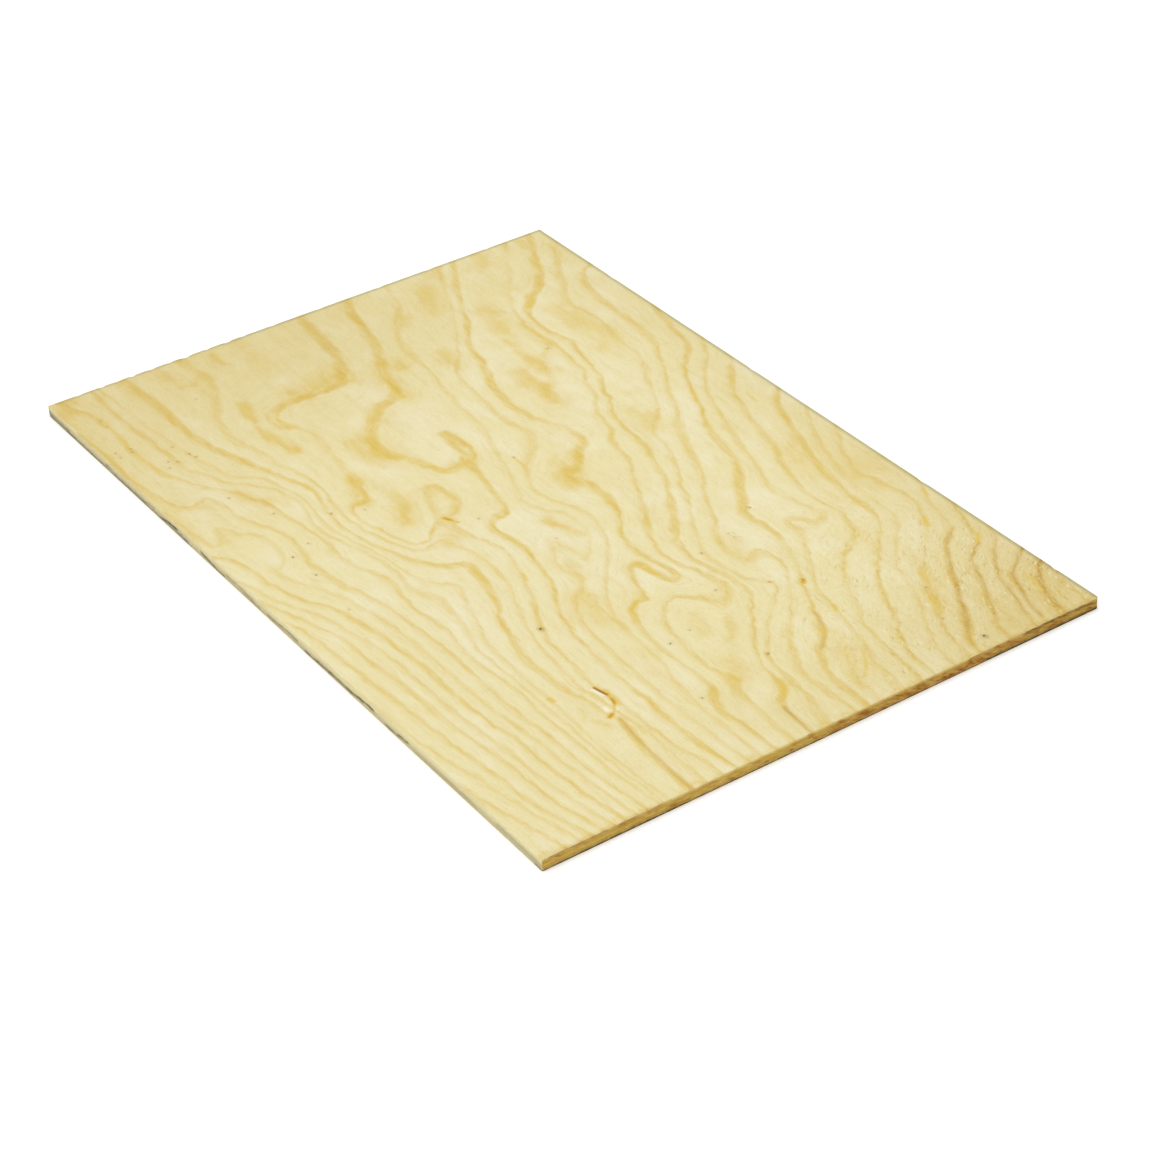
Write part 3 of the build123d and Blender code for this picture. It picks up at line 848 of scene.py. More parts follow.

# Browned rings, the flecks of the torn grain, pale and dark, partly painted highlight and shade of its torn
# relief, and how resin spreads
BROWNED_TINT = (0.84, 0.72, 0.52)
BROWNED_CORE_TINT = (0.8, 0.66, 0.45)
FLECKS = RingNoise(12.0, 8)
FLECK_PATCHES = Ramp(0.4, 0.62, 0.25, 1.0)
PALE_FLECKS = Ramp(0.54, 0.68, 0, 0.7)
DARK_FLECKS = Ramp(0.44, 0.28)
FLECK_TINT = (0.72, 0.56, 0.34)
RESIN_RIM = Ramp(0.0, 0.5)
RESIN_HEART = Ramp(0.3, 1.0)

# The face's relief: how much its fibres, late wood and flecks count
FIBRE_RELIEF = 0.6
LATE_WOOD_RELIEF = 0.3
FLECK_RELIEF = 4.0

# The back's plain figure: its rings' spacing in millimetres, their swirl and how many go to a millimetre
BACK_RING_SPACING = 21
BACK_SWIRL = Noise((420, 150, 150))
BACK_SWIRL_RINGS = 22.0
BACK_RING_SLOPE = 0.055
BACK_PATCHES = Noise((130, 30, 30), detail=3)
BACK_RING_PATCHES = Ramp(0.3, 0.7, 0.2, 0.75)
BACK_SEASON_SHARE = 0.1

# Where a surface turns from a face into a sawn edge, by how far it faces up
EDGE_TURN = Ramp(0.35, 0.8, 1.0, 0.0)

# Sawn edges: how their colours change with height, the long sides darker toward the floor partly as painted
# shade, and late wood that shows at the face's edge
SIDE_HEIGHTS = Ramp(3.5 * MILLIMETRE, 11 * MILLIMETRE)
END_HEIGHTS = Ramp(8.6 * MILLIMETRE, 11.8 * MILLIMETRE)
SAWN_LATE_SHARE = 0.6
SAWN_LATE_TINT = (0.8, 0.66, 0.4)

# Streaks on the short ends, which stains deepen
STREAKS = Noise((4, 13, 2.6), detail=4, roughness=0.65, slant=(-20, 0, 0))
DARK_STREAKS = Ramp(0.46, 0.72)
LIGHT_STREAKS = Ramp(0.48, 0.3, 0, 0.5)
BROWN_STREAKS = Ramp(0.35, 0.62, 0.5, 1.4)
CLEAN_STREAK_SHARE = 0.5
STAINED_STREAK_SHARE = 0.9
STREAK_TINT = (0.72, 0.62, 0.42)
RUDDY_PATCHES = Noise((7, 16, 4), detail=3, roughness=0.6, slant=(14, 0, 0))
RUDDY_SHARES = Ramp(0.52, 0.75, 0, 0.7)
RUDDY_TINT = (0.86, 0.66, 0.36)

# Cut pores where fibres end at a sawn edge, and lines where they run along it
PORES = Noise((0.7, 0.7, 0.7))
SAWN_FIBRES = Noise((30, 30, 0.8), detail=3)
SAWN_GRAIN_SHARES = Ramp(0.45, 0.75, 0, 0.5)
SAWN_GRAIN_TINT = (0.86, 0.8, 0.68)

# Sockets of the Mix node that hold its two colours and their mixture
MIX_FIRST, MIX_SECOND, MIX_RESULT = 6, 7, 2

# Finish of the wood: roughness, and height of the bump in millimetres
SPECULAR_LEVEL = 0.25
FACE_ROUGHNESS = 0.72
FACE_BUMP = 0.08
BACK_ROUGHNESS = 0.75
BACK_BUMP = 0.06
EDGE_ROUGHNESS = 0.8
EDGE_BUMP = 0.1

# The studio: half the floor in metres, its glow for the camera, the lamp's breadth and tilt in degrees
FLOOR_HALF = 15.0
FLOOR_GLOW = 0.24
LAMP_BREADTH = 70
LAMP_TILT = (8, -6, 0)
SENSOR_WIDTH = 36.0


def tint_setting(name, description, red, green, blue):
    """A colour for the panel, as the shares that Blender keeps."""
    return FloatVectorProperty(
        name=name, description=description, subtype="COLOR", size=3, min=0, max=1,
        default=(red, green, blue))


def colour_setting(name, description, red, green, blue):
    """A colour for the panel, given as on a screen from 0 to 255."""
    return tint_setting(name, description, *srgb(red, green, blue))


def length_setting(name, description, millimetres):
    """A length for the panel."""
    return FloatProperty(
        name=name, description=description, unit="LENGTH", precision=5, default=millimetres * MILLIMETRE)


def angle_setting(name, description, degrees):
    """An angle for the panel."""
    return FloatProperty(name=name, description=description, subtype="ANGLE", default=math.radians(degrees))


class FaceLook(PropertyGroup):
    """The face veneer's figure and colours."""

    early_wood: colour_setting("Early wood", "Pale wood between the rings", 238, 226, 175)
    late_wood: colour_setting("Late wood", "Amber wood at the rings", 226, 195, 88)
    pale_wood: colour_setting("Pale wood", "The palest early wood", 244, 237, 204)
    fresh_wood: colour_setting("Fresh wood", "Wood torn up lately", 253, 248, 232)
    resin: colour_setting("Resin", "Orange-brown marks", 186, 112, 34)
    pit: colour_setting("Pit", "Bottoms of the pin knots and the split", 62, 42, 16)
    # Tint of aged wood, also used to paint the shade where the light falls off toward the sheet's ends and
    # corner
    age_and_falloff_tint: tint_setting("Darkening", "Tint that age gives the wood", 0.863, 0.807, 0.66)
    # Grey tint laid in a thin line along the far rims
    far_rim_grey: tint_setting("Handling", "Tint that handling gives the far rims", 0.6, 0.63, 0.6)
    grid_step: length_setting("Grid step", "Spacing of the face's mesh", 2.8)


class EdgeLook(PropertyGroup):
    """The sawn edges: their colours and how rough the saw and use left them."""

    end_top: colour_setting("Short edges above", "Sawn short ends, near the face", 254, 230, 148)
    end_ochre: colour_setting("Short edges", "Sawn short ends", 232, 196, 96)
    end_light: colour_setting("Light streaks", "Pale fibres on the short ends", 244, 214, 134)
    # The long sides: paler above partly from wear at the arris, and darker at the foot partly as painted
    # shade near the floor
    side_top: colour_setting("Long edges above", "Sawn long sides, near the face", 255, 243, 193)
    side_foot: colour_setting("Long edges below", "Sawn long sides, near the floor", 224, 212, 164)
    brown: colour_setting("Brown streaks", "Stains on the short ends", 164, 92, 12)
    # Colour of soiling on the edges, also used for the painted contact shade along their foot
    dirt_and_shade: colour_setting("Dirt", "Dirt and shade in the torn edges", 52, 40, 10)
    crossband_tint: tint_setting("Crossband tint", "How much browner the crossbands are", 0.92, 0.88, 0.8)
    roughness_depth: length_setting("Saw roughness", "How far the sawn edge wanders inward", 0.12)
    groove_depth: length_setting("Glue groove", "How far the glue lines lie back from the edge", 0.12)
    rim_step: length_setting("Rim step", "Spacing of the inner plies' edges", 2.0)
    back_step: length_setting("Back step", "Spacing of the back's mesh", 3.5)
    seed: IntProperty(name="Seed", description="Start of the random wear", default=7)


class StageLook(PropertyGroup):
    """The camera, the lamp and the floor."""

    aim: FloatVectorProperty(
        name="Aim", description="Point on the face in the middle of the picture", subtype="TRANSLATION",
        size=3, default=(0.14056, -0.05057, 0.012))
    distance: FloatProperty(
        name="Distance", description="From the aim to the camera", unit="LENGTH", default=2.73559)
    azimuth: angle_setting("Azimuth", "Direction of the camera from the aim, from the X axis", -32.650)
    elevation: angle_setting("Elevation", "Height of the camera above the horizon", 34.449)
    roll: angle_setting("Roll", "Turn of the camera about its own line of sight", -3.108)
    lens: FloatProperty(
        name="Lens", description="Focal length on a 36 mm sensor, in millimetres", default=93.010)
    sky_share: FloatProperty(
        name="Sky share", description="Share of the light that comes from all round", subtype="FACTOR",
        min=0, max=1, default=0.35)
    floor_colour: tint_setting("Floor", "Pale floor", 0.9, 0.9, 0.9)


class SheetSettings(PropertyGroup):
    """All settings of the sheet and its studio."""

    face: PointerProperty(type=FaceLook)
    edge: PointerProperty(type=EdgeLook)
    stage: PointerProperty(type=StageLook)


def look():
    """The settings that the panel shows."""
    return bpy.context.scene.plywood_sheet


def spaced(stops):
    """Evenly spaced places from stop to stop, each stop given with the step that follows it."""
    places = []
    for (start, step), (end, _) in zip(stops[:-1], stops[1:]):
        count = max(1, round((end - start) / step))
        places.extend(np.linspace(start, end, count, endpoint=False))
    places.append(stops[-1][0])
    return np.array(places)


def grid_places(size, step, fine=None):
    """Places of the grid lines across one direction, from the corner, close together at both borders."""
    low, high = ARRIS, size - ARRIS
    first, last = low + BORDER_INSETS[-1], high - BORDER_INSETS[-1]
    stops = [(first, step)]
    if fine:
        stops += [(fine[0], SCAR_STEP), (fine[1], step)]
    stops.append((last, step))
    near = np.array(BORDER_INSETS[:-1])
    return np.concatenate([low + near, spaced(stops), high - near[::-1]])


def chip_depth(side, places):
    """How far the chips of a side reach in at places along it."""
    depth = np.zeros(len(places))
    for chipped, place, length, deep in RIM_CHIPS:
        if chipped == side:
            depth += deep * np.exp(-((places - place) / (length / 2)) ** 2)
    return depth


class FlatFace:
    """A grid over a face's flat part, with rounded corners, and the rim that the edges hang from."""

    def __init__(self, step, fine_x=None, fine_y=None, chipped=False):
        self.xs = grid_places(SHEET_LENGTH_MM, step, fine_x)
        self.ys = grid_places(SHEET_WIDTH_MM, step, fine_y)
        x, y = np.meshgrid(self.xs, self.ys)
        self.points = np.stack([x.ravel(), y.ravel()], axis=1)
        self.drop = np.zeros(len(self.points))
        self.chips = np.zeros(len(self.points))
        self.rim = self.rim_order()
        self.outward = self.rim_directions()
        self.round_corners()
        if chipped:
            self.chip_rim()

    def index(self, column, row):
        """Index of the grid point in a column and a row."""
        return row * len(self.xs) + column

    def quads(self):
        """The grid's cells, each as its four corners' indices, anticlockwise from above."""
        columns, rows = np.meshgrid(np.arange(len(self.xs) - 1), np.arange(len(self.ys) - 1))
        corner = self.index(columns, rows).ravel()
        return np.stack([corner, corner + 1, corner + 1 + len(self.xs), corner + len(self.xs)], axis=1)

    def rim_order(self):
        """Indices of the border points, anticlockwise from above."""
        columns, rows = len(self.xs), len(self.ys)
        left = [self.index(i, 0) for i in range(columns)]
        near = [self.index(columns - 1, j) for j in range(1, rows)]
        right = [self.index(i, rows - 1) for i in range(columns - 2, -1, -1)]
        far = [self.index(0, j) for j in range(rows - 2, 0, -1)]
        return np.array(left + near + right + far)

    def corners(self):
        """Each corner's way out along and across, and its radius."""
        for along in (-1, 1):
            for across in (-1, 1):
                yield along, across, KNOCKED_CORNER if along == across == 1 else CRISP_CORNER

    def into_corner(self, points, along, across, radius):
        """How far points lie beyond the centre of a corner's arc, in both directions."""
        centre = SHEET_MIDDLE - ARRIS - radius
        return (points - SHEET_MIDDLE) * (along, across) - centre

    def rim_directions(self):
        """The way outward at each border point."""
        points = self.points[self.rim]
        on_end = np.isclose(np.abs(points[:, 0] - SHEET_MIDDLE[0]), SHEET_MIDDLE[0] - ARRIS)
        outward = np.where(on_end[:, None], (1.0, 0.0), (0.0, 1.0)) * np.sign(points - SHEET_MIDDLE)
        for along, across, radius in self.corners():
            beyond = self.into_corner(points, along, across, radius)
            inside = (beyond > TOUCHING).all(axis=1)
            away = beyond[inside] * (along, across)
            outward[inside] = away / np.linalg.norm(away, axis=1, keepdims=True)
        return outward

    def round_corners(self):
        """Draws the square corners of the grid in to their arcs."""
        for along, across, radius in self.corners():
            beyond = self.into_corner(self.points, along, across, radius)
            inside = (beyond > TOUCHING).all(axis=1)
            square = beyond[inside]
            disc = square * (square.max(axis=1) / np.linalg.norm(square, axis=1))[:, None]
            self.points[inside] += (disc - square) * (along, across)

    def chip_rim(self):
        """Draws the border in where it is chipped, and lets it down."""
        x, y = self.points.T.copy()
        sides = (
            ("far end", x, y, (1, 0)),
            ("near end", SHEET_LENGTH_MM - x, y, (-1, 0)),
            ("left side", y, x, (0, 1)),
            ("right side", SHEET_WIDTH_MM - y, x, (0, -1)),
        )
        for side, inset, place, inward in sides:
            near = np.clip(1 - (inset - ARRIS) / CHIP_REACH, 0, 1)
            depth = chip_depth(side, place) * near
            self.points += depth[:, None] * inward
            self.drop += CHIP_DROP_SHARE * depth * near
            self.chips = np.maximum(self.chips, depth)


def squared_distances(points, others):
    """Squared distance from each point to each of the others."""
    along = points[:, :1] - others[:, 0]
    across = points[:, 1:] - others[:, 1]
    return along * along + across * across


def thin_plate(squared):
    """The thin-plate spline's bending of a point at a squared distance."""
    return squared * np.log(squared + NO_DISTANCE)


def in_batches(function, points, batch=8000):
    """Runs a function over many points, a batch at a time to spare memory."""
    parts = [function(points[i:i + batch]) for i in range(0, len(points), batch)]
    return np.concatenate(parts)


def filled_line(line, spacing):
    """A line's points with more between them, so that none are further apart than a spacing."""
    stops = np.array(line, float)
    parts = []
    for start, end in zip(stops[:-1], stops[1:]):
        count = math.ceil(np.linalg.norm(end - start) / spacing)
        parts.append(np.linspace(start, end, count, endpoint=False))
    return np.concatenate([*parts, stops[-1:]])


class RingField:
    """A smooth surface over the face that is a whole number along each growth ring."""

    # The spline's unit of length, its knots' spacing and the reach of a ring's darkness, in millimetres
    unit = 100.0
    spacing = 12.0
    nearness = 8.0

    # How freely the surface may miss its knots
    looseness = 3e-5

    def __init__(self):
        rings = [filled_line(line, self.spacing) for _, line in RING_LINES]
        between = [filled_line(line, self.spacing) for _, line in BETWEEN_RINGS]
        levels = [*range(len(rings)), *(level for level, _ in BETWEEN_RINGS)]
        self.places = np.concatenate(rings)
        self.darkness = np.repeat([dark for dark, _ in RING_LINES], [len(line) for line in rings])
        self.knots = np.concatenate(rings + between) / self.unit
        self.weights = self.solved(np.repeat(levels, [len(line) for line in rings + between]))

    def solved(self, levels):
        """The spline's weights: one for each knot, then its level and its slopes."""
        knots = self.knots
        count = len(knots)
        system = np.zeros((count + 3, count + 3))
        bending = thin_plate(squared_distances(knots, knots))
        system[:count, :count] = bending + self.looseness * np.eye(count)
        system[:count, count] = 1
        system[:count, count + 1:] = knots
        system[count, :count] = 1
        system[count + 1:, :count] = knots.T
        return np.linalg.solve(system, np.append(levels, np.zeros(3)))

    def ring(self, points):
        """The ring number at each point."""
        count = len(self.knots)

        def part(batch):
            scaled = batch / self.unit
            bending = thin_plate(squared_distances(scaled, self.knots)) @ self.weights[:count]
            return bending + self.weights[count] + scaled @ self.weights[count + 1:]

        return in_batches(part, points)

    def dark(self, points):
        """The darkness of the nearest rings at each point."""
        def part(batch):
            weight = 1 / (squared_distances(batch, self.places) + self.nearness ** 2) ** 2
            return weight @ self.darkness / weight.sum(axis=1)

        return in_batches(part, points)


def distance_to_line(points, line):
    """Distance from each point to a line of straight stretches."""
    best = np.full(len(points), np.inf)
    stops = np.array(line, float)
    for start, end in zip(stops[:-1], stops[1:]):
        stretch = end - start
        share = np.clip((points - start) @ stretch / (stretch @ stretch), 0, 1)
        best = np.minimum(best, np.linalg.norm(points - start - share[:, None] * stretch, axis=1))
    return best


def wavered(points, size, reach, seed):
    """Points moved by soft waves of about a size and a reach, so that lines through them look ragged."""
    random = np.random.default_rng(seed)
    moved = points.copy()
    for axis in (0, 1):
        for _ in range(WAVE_COUNT):
            turn, phase = random.uniform(0, 2 * math.pi, 2)
            spread = random.uniform(*WAVE_SIZE_SHARES)
            way = np.array((math.cos(turn), math.sin(turn))) / np.array(size) / spread
            moved[:, axis] += reach[axis] * np.sin(2 * math.pi * points @ way + phase)
    return moved


def painted(points, strokes):
    """How strongly soft strokes colour each point, from 0 to 1."""
    bare = np.ones(len(points))
    for half_width, dark, line in strokes:
        margin = STROKE_REACH * half_width
        near = (points > np.min(line, axis=0) - margin) & (points < np.max(line, axis=0) + margin)
        near = near.all(axis=1)
        away = distance_to_line(points[near], line) / (STROKE_SOFTNESS * half_width)
        bare[near] *= 1 - dark * np.exp(-away ** 2)
    return 1 - bare


class Painter:
    """Adds shader nodes to a material and links them, so that a pattern reads as arithmetic."""

    def __init__(self, name):
        self.material = bpy.data.materials.new(name)
        self.material.use_nodes = True
        self.tree = self.material.node_tree
        self.shader = self.tree.nodes["Principled BSDF"]

    def feed(self, socket, value):
        """Links a socket to another, or sets it to a number or a colour."""
        if isinstance(value, bpy.types.NodeSocket):
            self.tree.links.new(value, socket)
        elif socket.type == "RGBA" and len(value) == 3:
            socket.default_value = (*value, 1)
        else:
            socket.default_value = value

    def math(self, operation, *values, clamp=False):
        """The result of an operation on one or two numbers."""
        node = self.tree.nodes.new("ShaderNodeMath")
        node.operation = operation
        node.use_clamp = clamp
        for socket, value in zip(node.inputs, values):
            self.feed(socket, value)
        return node.outputs[0]

    def add(self, first, second):
        """The sum of two numbers."""
        return self.math("ADD", first, second)

    def take(self, first, second):
        """The first number less the second."""
        return self.math("SUBTRACT", first, second)

    def times(self, first, second):
        """The product of two numbers."""
        return self.math("MULTIPLY", first, second)

    def either(self, first, second):
        """Two coverings laid one over the other, each from 0 to 1."""
        bare = self.times(self.take(1.0, first), self.take(1.0, second))
        return self.math("SUBTRACT", 1.0, bare, clamp=True)

    def rescale(self, value, ramp):
        """The share that a ramp gives a value, held at the ramp's ends."""
        node = self.tree.nodes.new("ShaderNodeMapRange")
        node.interpolation_type = "SMOOTHSTEP"
        for socket, part in zip(node.inputs, (value, *ramp)):
            self.feed(socket, part)
        return node.outputs[0]

    def mix(self, share, first, second, blend="MIX"):
        """Two colours blended, the second by a share."""
        node = self.tree.nodes.new("ShaderNodeMix")
        node.data_type = "RGBA"
        node.blend_type = blend
        self.feed(node.inputs["Factor"], share)
        self.feed(node.inputs[MIX_FIRST], first)
        self.feed(node.inputs[MIX_SECOND], second)
        return node.outputs[MIX_RESULT]

    def tint(self, share, colour, tint):
        """A colour multiplied by a tint, as far as the share says."""
        return self.mix(share, colour, tint, blend="MULTIPLY")

    def attribute(self, name):
        """A value that the mesh holds at its points."""
        node = self.tree.nodes.new("ShaderNodeAttribute")
        node.attribute_name = name
        return node.outputs["Fac"]

    def place(self):
        """The point's place in the part's frame."""
        return self.tree.nodes.new("ShaderNodeTexCoord").outputs["Object"]

    def parts_of(self, vector):
        """A vector's three numbers."""
        split = self.tree.nodes.new("ShaderNodeSeparateXYZ")
        self.feed(split.inputs[0], vector)
        return split.outputs

    def joined(self, *parts):
        """A vector of three numbers."""
        node = self.tree.nodes.new("ShaderNodeCombineXYZ")
        for socket, part in zip(node.inputs, parts):
            self.feed(socket, part)
        return node.outputs[0]

    def stretched(self, place, sizes, slant=(0, 0, 0)):
        """A place measured in pattern sizes, in millimetres along each axis."""
        node = self.tree.nodes.new("ShaderNodeMapping")
        node.vector_type = "TEXTURE"
        self.feed(node.inputs["Vector"], place)
        node.inputs["Scale"].default_value = [size * MILLIMETRE for size in sizes]
        node.inputs["Rotation"].default_value = [math.radians(angle) for angle in slant]
        return node.outputs[0]

    def clouds(self, place, detail, roughness):
        """Soft noise about 0.5, one blob to a unit of the place."""
        node = self.tree.nodes.new("ShaderNodeTexNoise")
        self.feed(node.inputs["Vector"], place)
        node.inputs["Scale"].default_value = 1.0
        node.inputs["Detail"].default_value = detail
        node.inputs["Roughness"].default_value = roughness
        return node.outputs["Fac"]

    def noise(self, place, noise):
        """Noise laid over a place."""
        return self.clouds(self.stretched(place, noise.sizes, noise.slant), noise.detail, noise.roughness)

    def ring_noise(self, place, ring, noise):
        """Noise that follows the rings over a place."""
        along, across, _ = self.parts_of(self.stretched(place, (noise.length,) * 3))
        followed = self.joined(self.times(ring, noise.per_ring), along, across)
        return self.clouds(followed, noise.detail, noise.roughness)

    def facing(self):
        """How far the surface faces along X, along Y and up, each from 0 to 1."""
        normal = self.tree.nodes.new("ShaderNodeNewGeometry").outputs["Normal"]
        return [self.math("ABSOLUTE", socket) for socket in self.parts_of(normal)]

    def on_edge(self):
        """1 on the sawn edge of a veneer and 0 on its face."""
        return self.rescale(self.facing()[2], EDGE_TURN)

    def bump(self, height, millimetres):
        """A normal roughened by a height."""
        node = self.tree.nodes.new("ShaderNodeBump")
        self.feed(node.inputs["Height"], height)
        node.inputs["Distance"].default_value = millimetres * MILLIMETRE
        return node.outputs[0]

    def finish(self, colour, normal, roughness):
        """The material, with its shader fed."""
        self.feed(self.shader.inputs["Base Color"], colour)
        self.feed(self.shader.inputs["Normal"], normal)
        self.feed(self.shader.inputs["Roughness"], roughness)
        self.shader.inputs["Specular IOR Level"].default_value = SPECULAR_LEVEL
        return self.material


def ring_width(paint, side, slope, broad):
    """Width of one side of a ring's late wood, in rings."""
    millimetres = paint.add(paint.times(broad, side.broad_width), side.width)
    return paint.add(paint.times(slope, millimetres), side.least)


def ring_profile(paint, ring, slope, broad):
    """Late wood across a ring, and how late in the season the wood between two rings grew."""
    offset = paint.take(ring, paint.math("ROUND", ring))
    below = paint.math("LESS_THAN", offset, 0.0)
    soft_side = ring_width(paint, SOFT_SIDE, slope, broad)
    sharp_side = ring_width(paint, SHARP_SIDE, slope, broad)
    width = paint.add(sharp_side, paint.times(below, paint.take(soft_side, sharp_side)))
    share = paint.math("DIVIDE", offset, width)
    squared = paint.times(share, share)
    flatter = paint.add(squared, paint.times(broad, paint.take(paint.times(squared, squared), squared)))
    line = paint.math("EXPONENT", paint.times(flatter, -1.0))
    season = paint.math("FRACT", ring)
    return line, paint.times(season, season)


def growth_rings(paint, place, patchy):
    """The face's ring number, and the crisp middle, the amber share and the dark core of its rings."""
    slope = paint.attribute("ring_slope")
    broad = paint.attribute("ring_broad")
    ragged = paint.noise(place, RAGGED_LINES)
    wiggle = paint.times(paint.times(paint.take(ragged, NOISE_MIDDLE), slope), RAGGED_REACH)
    ring = paint.add(paint.attribute("ring"), wiggle)
    line, season = ring_profile(paint, ring, slope, broad)
    crisp = paint.math("POWER", line, CRISPNESS)
    darkness = paint.times(paint.attribute("ring_dark"), paint.rescale(patchy, RING_PATCHES))
    core = paint.times(paint.times(crisp, darkness), paint.take(1.0, broad))
    line = paint.times(line, paint.either(darkness, paint.times(broad, BROAD_RING_SHARE)))
    pool = paint.times(paint.attribute("pool"), paint.rescale(patchy, POOL_PATCHES))
    amber = paint.either(paint.either(line, pool), paint.times(season, SEASON_SHARE))
    return ring, crisp, amber, core


def fibres(paint, place, colour):
    """Lays fibres along the grain over a colour, and gives the height of the fine ones."""
    heights = []
    for noise, ramp, tint in FIBRES:
        heights.append(paint.noise(place, noise))
        colour = paint.tint(paint.rescale(heights[-1], ramp), colour, tint)
    return colour, heights[0]


def edge_colour(paint, ends_on_short=True, tint=None):
    """Colour and grain of a veneer's sawn edge; its fibres end at the short sides or at the long ones."""
    edge = look().edge
    along_x, along_y, _ = paint.facing()
    on_short = paint.math("GREATER_THAN", along_x, along_y)
    place = paint.place()
    height = paint.parts_of(place)[2]
    # The long sides darken toward the floor, partly as painted shade
    side = paint.mix(paint.rescale(height, SIDE_HEIGHTS), edge.side_foot, edge.side_top)
    end = paint.mix(paint.rescale(height, END_HEIGHTS), edge.end_ochre, edge.end_top)
    colour = paint.mix(on_short, side, end)
    colour = paint.tint(on_short, colour, tint) if tint else colour
    streak = paint.noise(place, STREAKS)
    stained = paint.attribute("edge_brown")
    streak_share = paint.add(paint.times(stained, STAINED_STREAK_SHARE), CLEAN_STREAK_SHARE)
    darker = paint.times(paint.times(paint.rescale(streak, DARK_STREAKS), streak_share), on_short)
    colour = paint.tint(darker, colour, STREAK_TINT)
    lighter = paint.times(paint.rescale(streak, LIGHT_STREAKS), on_short)
    colour = paint.mix(lighter, colour, edge.end_light)
    ruddy = paint.times(paint.rescale(paint.noise(place, RUDDY_PATCHES), RUDDY_SHARES), on_short)
    colour = paint.tint(ruddy, colour, RUDDY_TINT)
    on_end = on_short if ends_on_short else paint.take(1.0, on_short)
    pores = paint.times(on_end, paint.noise(place, PORES))
    grain = paint.add(pores, paint.times(paint.take(1.0, on_end), paint.noise(place, SAWN_FIBRES)))
    colour = paint.tint(paint.rescale(grain, SAWN_GRAIN_SHARES), colour, SAWN_GRAIN_TINT)
    brown = paint.times(stained, paint.rescale(streak, BROWN_STREAKS))
    colour = paint.mix(brown, colour, edge.brown)
    # Soiling, and painted contact shade along the foot, laid over the edge's colour
    return paint.mix(paint.attribute("edge_dirt_and_shade"), colour, edge.dirt_and_shade), grain


def face_material():
    """The face: its rings and fibres, then age and painted falloff shade, torn grain with flecks partly
    painted as highlight and shade, and marks, and sawn wood round its edge.
    """
    face = look().face
    paint = Painter("face_wood")
    place = paint.place()
    patchy = paint.noise(place, PATCHES)
    ring, crisp, amber, core = growth_rings(paint, place, patchy)
    colour = paint.mix(paint.attribute("pale"), face.early_wood, face.pale_wood)
    cloudy = paint.rescale(paint.noise(place, CLOUDS), CLOUD_SHARES)
    colour = paint.mix(cloudy, colour, face.pale_wood)
    colour = paint.mix(amber, colour, face.late_wood)
    colour = paint.tint(core, colour, CORE_TINT)
    layer = paint.ring_noise(place, ring, LAYERS)
    colour = paint.tint(paint.rescale(layer, DARK_LAYERS), colour, LAYER_TINT)
    colour = paint.mix(paint.rescale(layer, PALE_LAYERS), colour, face.pale_wood)
    colour, height = fibres(paint, place, colour)
    # Aged wood, and painted shade where the light falls off toward the sheet's ends and corner
    colour = paint.tint(paint.attribute("aged_and_falloff_shade"), colour, face.age_and_falloff_tint)
    browned = paint.attribute("browned")
    colour = paint.tint(browned, colour, BROWNED_TINT)
    colour = paint.tint(paint.times(browned, crisp), colour, BROWNED_CORE_TINT)
    torn = paint.attribute("torn_grain")
    # Pale and dark flecks of the torn grain: partly the wood's own, partly painted highlight and shade of
    # its torn relief
    fleck = paint.ring_noise(place, ring, FLECKS)
    clumped = paint.times(torn, paint.rescale(patchy, FLECK_PATCHES))
    colour = paint.mix(paint.times(clumped, paint.rescale(fleck, PALE_FLECKS)), colour, face.pale_wood)
    colour = paint.tint(paint.times(clumped, paint.rescale(fleck, DARK_FLECKS)), colour, FLECK_TINT)
    # The far rims tinted grey in a thin line
    colour = paint.tint(paint.attribute("far_rim_grey_line"), colour, face.far_rim_grey)
    resin = paint.attribute("resin")
    colour = paint.mix(paint.rescale(resin, RESIN_RIM), colour, face.late_wood)
    colour = paint.mix(paint.rescale(resin, RESIN_HEART), colour, face.resin)
    colour = paint.mix(paint.attribute("fresh"), colour, face.fresh_wood)
    sawn, _ = edge_colour(paint)
    sawn = paint.tint(paint.times(amber, SAWN_LATE_SHARE), sawn, SAWN_LATE_TINT)
    colour = paint.mix(paint.on_edge(), colour, sawn)
    colour = paint.mix(paint.attribute("pit"), colour, face.pit)
    relief = paint.add(paint.times(height, FIBRE_RELIEF), paint.times(amber, LATE_WOOD_RELIEF))
    relief = paint.add(relief, paint.times(paint.times(torn, fleck), FLECK_RELIEF))
    return paint.finish(colour, paint.bump(relief, FACE_BUMP), FACE_ROUGHNESS)


def back_material():
    """The back: a plain swirling ring figure with fibres, and sawn wood round its edge."""
    face = look().face
    paint = Painter("back_wood")
    place = paint.place()
    across = paint.parts_of(paint.stretched(place, (BACK_RING_SPACING,) * 3))[1]
    ring = paint.add(across, paint.times(paint.noise(place, BACK_SWIRL), BACK_SWIRL_RINGS))
    line, season = ring_profile(paint, ring, BACK_RING_SLOPE, 0.0)
    line = paint.times(line, paint.rescale(paint.noise(place, BACK_PATCHES), BACK_RING_PATCHES))
    amber = paint.either(line, paint.times(season, BACK_SEASON_SHARE))
    colour, height = fibres(paint, place, paint.mix(amber, face.early_wood, face.late_wood))
    sawn, _ = edge_colour(paint)
    colour = paint.mix(paint.on_edge(), colour, sawn)
    return paint.finish(colour, paint.bump(paint.add(height, amber), BACK_BUMP), BACK_ROUGHNESS)


def inner_material(name, ends_on_short, tint=None):
    """A ply that shows only at the sawn edges."""
    paint = Painter(name)
    colour, grain = edge_colour(paint, ends_on_short, tint)
    return paint.finish(colour, paint.bump(grain, EDGE_BUMP), EDGE_ROUGHNESS)


